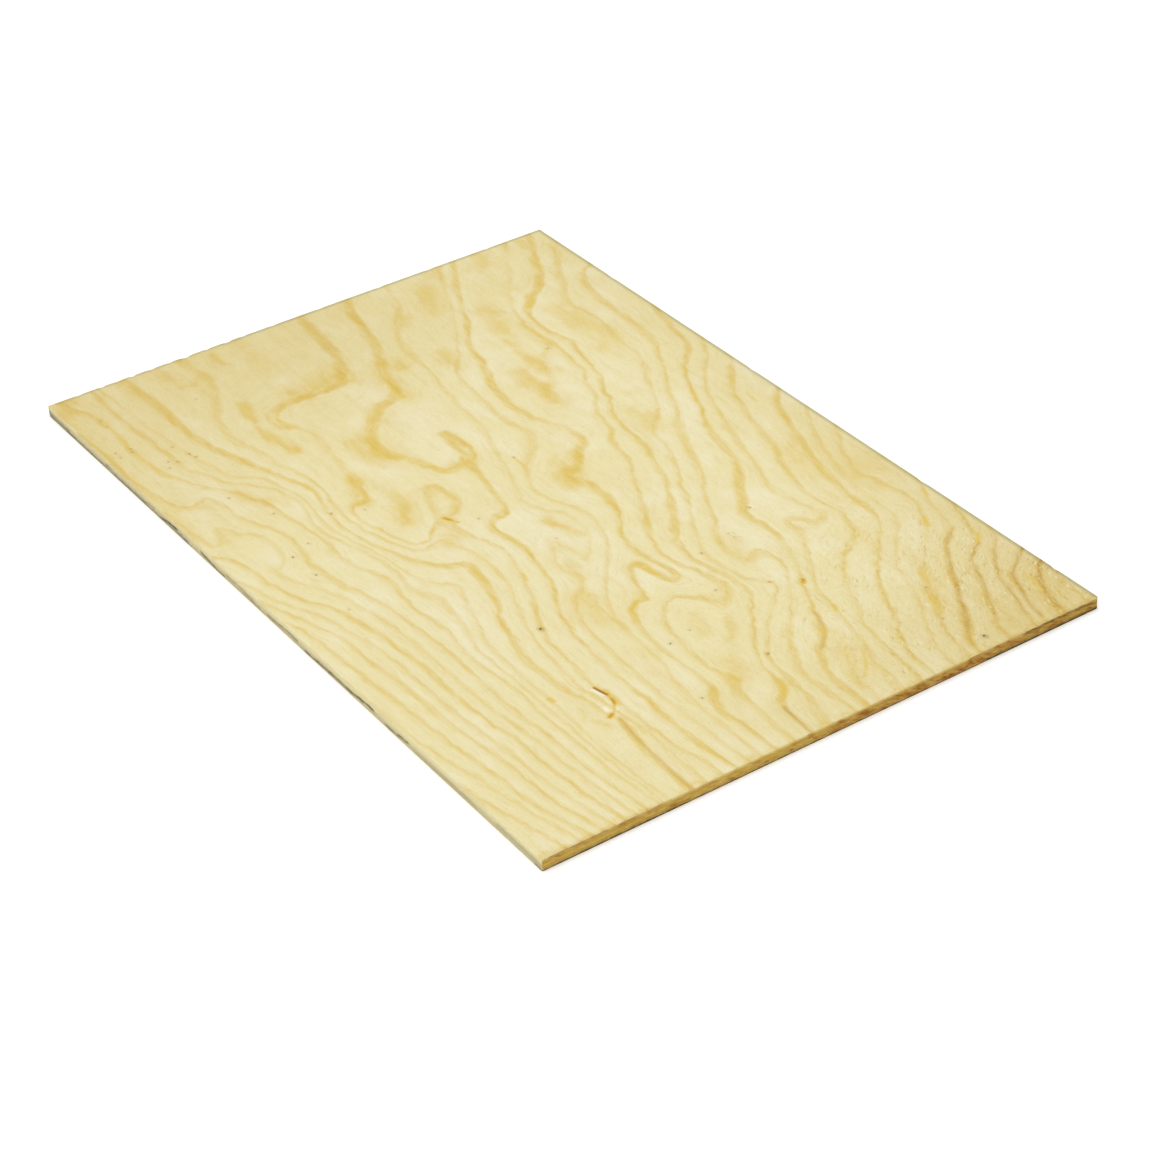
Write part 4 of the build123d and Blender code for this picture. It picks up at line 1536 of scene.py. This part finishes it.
class Edges:
    """Loops of points down the edge of a veneer, hung from the rim of a flat face."""

    def __init__(self, face, seed):
        edge = look().edge
        self.face = face
        self.random = np.random.default_rng(seed)
        self.rough = edge.roughness_depth / MILLIMETRE
        self.groove = edge.groove_depth / MILLIMETRE
        self.loops = []

    def wander(self):
        """A random share for each rim point that changes gently from one to the next."""
        shares = self.random.random(len(self.face.rim))
        return (np.roll(shares, 1) + 2 * shares + np.roll(shares, -1)) / 4

    def hang(self, outward, height, depth=0.0, healed=0.0):
        """Adds a loop a way out from the rim, drawn in by up to a depth, its chips healed by a share."""
        rim = self.face.points[self.face.rim]
        out = outward - depth * self.wander() + healed * self.face.chips[self.face.rim]
        flat = rim + self.face.outward * out[:, None]
        lowered = height - self.face.drop[self.face.rim] * (1 - healed)
        self.loops.append(np.column_stack([flat, lowered]))

    def hang_groove(self, height, healed=0.0):
        """Adds the loop that lies back at a glue line."""
        self.hang(ARRIS - self.groove, height, self.rough, healed)

    def hang_sawn(self, start, end, shares):
        """Adds loops down a sawn edge between two heights, at shares of the way."""
        for share in shares:
            self.hang(ARRIS, start + (end - start) * share, self.rough, healed=min(1, CHIP_HEALING * share))

    def hang_arris(self, height, way_down):
        """Adds loops round a face's eased rim; way_down is 1 under a top face and -1 over an underside."""
        for turn in ARRIS_TURNS:
            angle = math.radians(turn)
            self.hang(ARRIS * math.sin(angle), height - way_down * ARRIS * (1 - math.cos(angle)))

    def points(self):
        """The points of all loops, loop after loop."""
        return np.concatenate(self.loops)

    def ladders(self, start, flip=False):
        """Quads between the loops, whose points begin at an index."""
        count = len(self.face.rim)
        here = np.arange(count)
        there = np.roll(here, -1)
        faces = []
        for number in range(len(self.loops) - 1):
            upper = start + number * count
            lower = upper + count
            quads = np.stack([upper + here, lower + here, lower + there, upper + there], axis=1)
            faces += (quads[:, ::-1] if flip else quads).tolist()
        return faces

    def collar(self, start, flip=False):
        """Quads from the flat face's rim to the first loop."""
        rim = self.face.rim
        here = np.arange(len(rim))
        there = np.roll(here, -1)
        quads = np.stack([rim, start + here, start + there, rim[there]], axis=1)
        return (quads[:, ::-1] if flip else quads).tolist()

    def cap(self, start, number, upward):
        """One flat face that closes a loop."""
        count = len(self.face.rim)
        first = start + (number % len(self.loops)) * count
        around = list(range(first, first + count))
        return around if upward else around[::-1]

    def marks(self):
        """How brown the loops' points are, and how soiled or dark with painted contact shade along the
        foot; the sides out of sight repeat the others, turned.
        """
        seed = look().edge.seed
        points = self.points()
        outward = np.tile(self.face.outward, (len(self.loops), 1))
        on_short = np.abs(outward[:, 0]) > np.abs(outward[:, 1])
        along_end = np.where(outward[:, 0] > 0, points[:, 1], SHEET_WIDTH_MM - points[:, 1])
        along_side = np.where(outward[:, 1] < 0, points[:, 0], SHEET_LENGTH_MM - points[:, 0])
        ends = wavered(np.column_stack([along_end, points[:, 2]]), *EDGE_WAVES, seed)
        sides = wavered(np.column_stack([along_side, points[:, 2]]), *EDGE_WAVES, seed)
        brown = np.where(on_short, painted(ends, NEAR_END_BROWN), 0)
        dirt_and_shade = np.where(on_short, painted(ends, NEAR_END_DIRT_AND_SHADE), painted(sides, LEFT_SIDE_DIRT_AND_SHADE))
        return {"edge_brown": brown, "edge_dirt_and_shade": dirt_and_shade}

    def marks_after(self, count):
        """The marks of a mesh whose loops come after a count of unmarked points."""
        return {title: np.concatenate([np.zeros(count), values]) for title, values in self.marks().items()}


def place_in_frame(points):
    """Millimetres from the corner and the floor as metres in the part's frame."""
    return points * MILLIMETRE + np.array(CAD_BOX[0])


def mesh_piece(name, node, points, faces, material, attributes):
    """A mesh object in the frame that rides on the sheet and stands for a solid."""
    mesh = bpy.data.meshes.new(name)
    mesh.from_pydata(place_in_frame(points).tolist(), [], faces)
    for title, values in attributes.items():
        layer = mesh.attributes.new(title, "FLOAT", "POINT")
        layer.data.foreach_set("value", np.asarray(values, np.float32))
    mesh.materials.append(material)
    mesh.shade_smooth()
    mesh.set_sharp_from_angle(angle=math.radians(SHARP_ANGLE))
    if mesh.validate():
        raise RuntimeError(f"{name} has faulty faces")
    piece = bpy.data.objects.new(name, mesh)
    bpy.context.scene.collection.objects.link(piece)
    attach(piece, "root")
    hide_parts(node)
    return piece


def node_heights(node):
    """The underside and top of a solid, in millimetres above the floor."""
    low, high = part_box(node)
    return (low.z - CAD_BOX[0].z) / MILLIMETRE, (high.z - CAD_BOX[0].z) / MILLIMETRE


class Pits:
    """Pin knots sunk into the grid: each takes one cell, with points round its mouth and its floor."""

    # Depth and the half width of the stain round a pit, in millimetres
    depth = 0.5
    stain_half_width = 1.6

    # Strength of that stain and the mouth's, the floor's size, and the most of a cell a half mouth takes
    stain_share = 0.7
    mouth_stain_share = 0.5
    floor_share = 0.6
    cell_share = 0.42

    # How many half mouths the middle of a mouth keeps from the sides of its cell
    clearance = 1.1

    # Points round a mouth, two to each side of the cell, from the cell's first corner on
    per_side = 2
    count = 8
    first_turn = -135

    def __init__(self, flat):
        self.mouths = []
        self.cells = []
        for x, y, length, breadth, _ in PIN_PITS:
            column = int(np.searchsorted(flat.xs, x)) - 1
            row = int(np.searchsorted(flat.ys, y)) - 1
            low = np.array([flat.xs[column], flat.ys[row]])
            high = np.array([flat.xs[column + 1], flat.ys[row + 1]])
            half = np.minimum(np.array([length, breadth]) / 2, self.cell_share * (high - low))
            centre = np.clip((x, y), low + self.clearance * half, high - self.clearance * half)
            self.mouths.append((centre, half))
            self.cells.append(row * (len(flat.xs) - 1) + column)

    def points(self, top):
        """The points of all pits: each one's mouth, then its floor."""
        turns = np.radians(self.first_turn + 360 / self.count * np.arange(self.count))
        circle = np.column_stack([np.cos(turns), np.sin(turns)])
        rows = []
        for centre, half in self.mouths:
            mouth = centre + circle * half
            floor = centre + circle * half * self.floor_share
            rows.append(np.column_stack([mouth, np.full(self.count, top)]))
            rows.append(np.column_stack([floor, np.full(self.count, top - self.depth)]))
        return np.concatenate(rows)

    def surrounds(self):
        """A soft stroke along the grain over each pit."""
        for x, y, length, _, dark in PIN_PITS:
            ends = (x - length / 2, y), (x + length / 2, y)
            yield self.stain_half_width, self.stain_share * dark, ends

    def stain(self):
        """How dark each pit's points are: part of the way at the mouth and full on the floor."""
        darkness = [(self.mouth_stain_share * dark, dark) for *_, dark in PIN_PITS]
        return np.repeat(np.ravel(darkness), self.count)

    def faces(self, quads, start):
        """Faces of the pits, in place of the cells' quads."""
        result = []
        for number, cell in enumerate(self.cells):
            mouth = [start + 2 * self.count * number + k for k in range(self.count)]
            floor = [index + self.count for index in mouth]
            corners = quads[cell]
            for side in range(4):
                first, second = corners[side], corners[(side + 1) % 4]
                near = [mouth[(self.per_side * side + k) % self.count] for k in (2, 1, 0)]
                result.append([first, second, *near])
            for k in range(self.count):
                after = (k + 1) % self.count
                result.append([mouth[k], mouth[after], floor[after], floor[k]])
            result.append(floor)
        return result


class PLYWOOD_OT_face_veneer(Operator):
    """Build the face veneer with its growth rings, pits, scar and eased rim"""

    bl_idname = "plywood.face_veneer"
    bl_label = "Face Veneer"

    def execute(self, context):
        flat = FlatFace(look().face.grid_step / MILLIMETRE, SCAR_X, SCAR_Y, chipped=True)
        underside, top = node_heights("face_veneer")
        edges = Edges(flat, look().edge.seed)
        edges.hang_arris(top, 1)
        edges.hang_sawn(top, underside, FACE_LOOP_SHARES)
        edges.hang_groove(underside, healed=1)
        pits = Pits(flat)
        pit_points = pits.points(top)
        pit_start = len(flat.points)
        edge_start = pit_start + len(pit_points)
        quads = flat.quads().tolist()
        pitted = set(pits.cells)
        faces = [quad for cell, quad in enumerate(quads) if cell not in pitted]
        faces += pits.faces(quads, pit_start)
        faces += edges.collar(edge_start) + edges.ladders(edge_start) + [edges.cap(edge_start, -1, False)]
        height = top - flat.drop + self.relief(flat)
        points = np.concatenate([np.column_stack([flat.points, height]), pit_points, edges.points()])
        attributes = self.figure(flat, points, pit_start, edge_start, pits)
        attributes["pit"][pit_start:edge_start] = pits.stain()
        attributes |= edges.marks_after(edge_start)
        material = face_material()
        mesh_piece("face_veneer_grain", "face_veneer", points, faces, material, attributes)
        return {"FINISHED"}

    def relief(self, flat):
        """Rise of the flat face at the scar and the torn grain, in millimetres."""
        torn = painted(flat.points, TORN_GRAIN)
        uneven = np.random.default_rng(look().edge.seed).random(len(flat.points))
        inner = np.ones(len(flat.points))
        inner[flat.rim] = 0
        rise = TORN_RISE * painted(flat.points, TORN_PALE) - SPLIT_DEPTH * painted(flat.points, SPLIT)
        return inner * (rise - TORN_GRAIN_DEPTH * torn * uneven)

    def figure(self, flat, points, pit_start, edge_start, pits):
        """The face's figure at every point: the grid's and pits' own, and the rim's down the edges."""
        field = RingField()
        plan = points[:edge_start, :2]
        seed = look().edge.seed
        ring = field.ring(wavered(plan, *LINE_WAVES, seed))
        ragged = wavered(plan, *STROKE_WAVES, seed)
        rows, columns = len(flat.ys), len(flat.xs)
        across, along = np.gradient(ring[:pit_start].reshape(rows, columns), flat.ys, flat.xs)
        slope = np.hypot(along, across).ravel()
        pit_x, pit_y = plan[pit_start:].T
        in_cell = flat.index(np.searchsorted(flat.xs, pit_x) - 1, np.searchsorted(flat.ys, pit_y) - 1)
        values = {
            "ring": ring,
            "ring_slope": np.concatenate([slope, slope[in_cell]]),
            "ring_dark": field.dark(plan) * (1 - painted(ragged, FADED_RINGS)),
            "ring_broad": painted(ragged, BROAD_RINGS),
            "pool": painted(ragged, AMBER_POOLS),
            "pale": painted(ragged, PALE_POOLS),
            "aged_and_falloff_shade": painted(plan, AGED_AND_FALLOFF_SHADE),
            "resin": painted(plan, RESIN_MARKS),
            "browned": painted(plan, [*BROWNED_RINGS, *pits.surrounds()]),
            "fresh": painted(plan, TORN_PALE),
            "far_rim_grey_line": painted(plan, FAR_RIM_GREY_LINE),
            "torn_grain": painted(plan, TORN_GRAIN),
            "pit": painted(plan, SPLIT + PIT_STAINS),
        }
        loops = (len(points) - edge_start) // len(flat.rim)
        return {
            title: np.concatenate([part, np.tile(part[flat.rim], loops)])
            for title, part in values.items()
        }


class PLYWOOD_OT_inner_veneers(Operator):
    """Build the core and the two crossbands, which show at the sawn edges"""

    bl_idname = "plywood.inner_veneers"
    bl_label = "Inner Veneers"

    def execute(self, context):
        edge = look().edge
        crossband = inner_material("crossband_wood", False, edge.crossband_tint)
        core = inner_material("core_wood", True)
        plies = (
            ("upper_crossband", "crossband_wood", crossband),
            ("core_veneer", "core_wood", core),
            ("lower_crossband", "crossband_wood", crossband),
        )
        flat = FlatFace(edge.rim_step / MILLIMETRE)
        for number, (node, slot, material) in enumerate(plies, start=1):
            edges = Edges(flat, edge.seed + number)
            underside, top = node_heights(node)
            edges.hang_groove(top)
            edges.hang_sawn(top, underside, INNER_LOOP_SHARES)
            edges.hang_groove(underside)
            faces = [edges.cap(0, 0, True)] + edges.ladders(0) + [edges.cap(0, -1, False)]
            mesh_piece(node + "_edge", node, edges.points(), faces, material, edges.marks())
        return {"FINISHED"}


class PLYWOOD_OT_back_veneer(Operator):
    """Build the back veneer, with its own grain underneath and its eased lower rim"""

    bl_idname = "plywood.back_veneer"
    bl_label = "Back Veneer"

    def execute(self, context):
        edge = look().edge
        flat = FlatFace(edge.back_step / MILLIMETRE)
        underside, top = node_heights("back_veneer")
        edges = Edges(flat, edge.seed + BACK_SEED_STEP)
        edges.hang_arris(underside, -1)
        edges.hang_sawn(underside, top, FACE_LOOP_SHARES)
        edges.hang_groove(top)
        start = len(flat.points)
        faces = flat.quads()[:, ::-1].tolist()
        faces += edges.collar(start, flip=True) + edges.ladders(start, flip=True)
        faces.append(edges.cap(start, -1, True))
        points = np.concatenate([np.column_stack([flat.points, np.full(start, underside)]), edges.points()])
        attributes = edges.marks_after(start)
        material = back_material()
        mesh_piece("back_veneer_grain", "back_veneer", points, faces, material, attributes)
        return {"FINISHED"}


def seen_by_camera(tree):
    """1 for rays from the camera, mirrors and glass, and 0 for the light that lights the object."""
    path = tree.nodes.new("ShaderNodeLightPath").outputs
    seen = path["Is Camera Ray"]
    for kind in ("Is Glossy Ray", "Is Transmission Ray"):
        node = tree.nodes.new("ShaderNodeMath")
        node.operation = "MAXIMUM"
        tree.links.new(seen, node.inputs[0])
        tree.links.new(path[kind], node.inputs[1])
        seen = node.outputs[0]
    return seen


def floor_material(colour):
    """A pale floor that the camera sees as white, with the sheet's shadow on it."""
    paint = Painter("studio_floor")
    paint.shader.inputs["Base Color"].default_value = (*colour, 1)
    paint.shader.inputs["Roughness"].default_value = 1.0
    paint.shader.inputs["Specular IOR Level"].default_value = 0.0
    paint.shader.inputs["Emission Color"].default_value = (1, 1, 1, 1)
    glow = paint.times(seen_by_camera(paint.tree), FLOOR_GLOW)
    paint.feed(paint.shader.inputs["Emission Strength"], glow)
    return paint.material


class PLYWOOD_OT_stage(Operator):
    """Build the floor, the soft light and the camera"""

    bl_idname = "plywood.stage"
    bl_label = "Stage"

    def execute(self, context):
        stage = look().stage
        self.floor(stage)
        self.lamp(stage)
        self.sky(stage)
        self.camera(stage)
        context.scene.view_settings.view_transform = "Standard"
        return {"FINISHED"}

    def placed(self, name, data):
        """An object of the studio, in the scene."""
        item = bpy.data.objects.new(name, data)
        bpy.context.scene.collection.objects.link(item)
        return item

    def floor(self, stage):
        """The floor that the sheet lies on."""
        half = FLOOR_HALF
        mesh = bpy.data.meshes.new("studio_floor")
        corners = [(-half, -half, 0), (half, -half, 0), (half, half, 0), (-half, half, 0)]
        mesh.from_pydata(corners, [], [(0, 1, 2, 3)])
        mesh.materials.append(floor_material(stage.floor_colour))
        floor = self.placed("studio_floor", mesh)
        floor.location.z = CAD_BOX[0].z

    def lamp(self, stage):
        """A broad lamp overhead, which gives the soft shadow."""
        lamp = bpy.data.lights.new("soft_lamp", "SUN")
        lamp.energy = math.pi * (1 - stage.sky_share)
        lamp.angle = math.radians(LAMP_BREADTH)
        self.placed("soft_lamp", lamp).rotation_euler = [math.radians(angle) for angle in LAMP_TILT]

    def sky(self, stage):
        """Light from all round, which the camera sees as white."""
        world = bpy.data.worlds.new("studio_sky")
        world.use_nodes = True
        tree = world.node_tree
        background = tree.nodes["Background"]
        background.inputs["Color"].default_value = (1, 1, 1, 1)
        strength = tree.nodes.new("ShaderNodeMapRange")
        strength.inputs["To Min"].default_value = stage.sky_share
        strength.inputs["To Max"].default_value = 1.0
        tree.links.new(seen_by_camera(tree), strength.inputs["Value"])
        tree.links.new(strength.outputs[0], background.inputs["Strength"])
        bpy.context.scene.world = world

    def camera(self, stage):
        """The camera, where the photo's was."""
        level = math.cos(stage.elevation)
        back = Vector((
            level * math.cos(stage.azimuth), level * math.sin(stage.azimuth), math.sin(stage.elevation)))
        data = bpy.data.cameras.new("photo_camera")
        data.lens = stage.lens
        data.sensor_width = SENSOR_WIDTH
        camera = self.placed("photo_camera", data)
        camera.location = Vector(stage.aim) + back * stage.distance
        camera.rotation_mode = "QUATERNION"
        turn = Quaternion((0, 0, 1), stage.roll)
        camera.rotation_quaternion = (-back).to_track_quat("-Z", "Y") @ turn
        bpy.context.scene.camera = camera


class PLYWOOD_PT_sheet(Panel):
    """The sheet's settings and the buttons that build it."""

    bl_idname = "PLYWOOD_PT_sheet"
    bl_label = "Plywood Sheet"
    bl_space_type = "VIEW_3D"
    bl_region_type = "UI"
    bl_category = "Plywood"

    def draw(self, context):
        settings = context.scene.plywood_sheet
        for group in (settings.face, settings.edge, settings.stage):
            box = self.layout.box()
            for name in group.__annotations__:
                box.prop(group, name)
        for operator in OPERATORS:
            self.layout.operator(operator.bl_idname)


OPERATORS = (
    PLYWOOD_OT_face_veneer,
    PLYWOOD_OT_inner_veneers,
    PLYWOOD_OT_back_veneer,
    PLYWOOD_OT_stage,
)
CLASSES = (FaceLook, EdgeLook, StageLook, SheetSettings, *OPERATORS, PLYWOOD_PT_sheet)


def register():
    """Adds the settings, the operators and the panel to Blender."""
    for item in CLASSES:
        bpy.utils.register_class(item)
    bpy.types.Scene.plywood_sheet = PointerProperty(type=SheetSettings)


def unregister():
    """Takes them out again."""
    del bpy.types.Scene.plywood_sheet
    for item in reversed(CLASSES):
        bpy.utils.unregister_class(item)


def main():
    """Builds the sheet and its studio."""
    register()
    bpy.ops.plywood.face_veneer()
    bpy.ops.plywood.inner_veneers()
    bpy.ops.plywood.back_veneer()
    bpy.ops.plywood.stage()


if __name__ == "__main__":
    main()
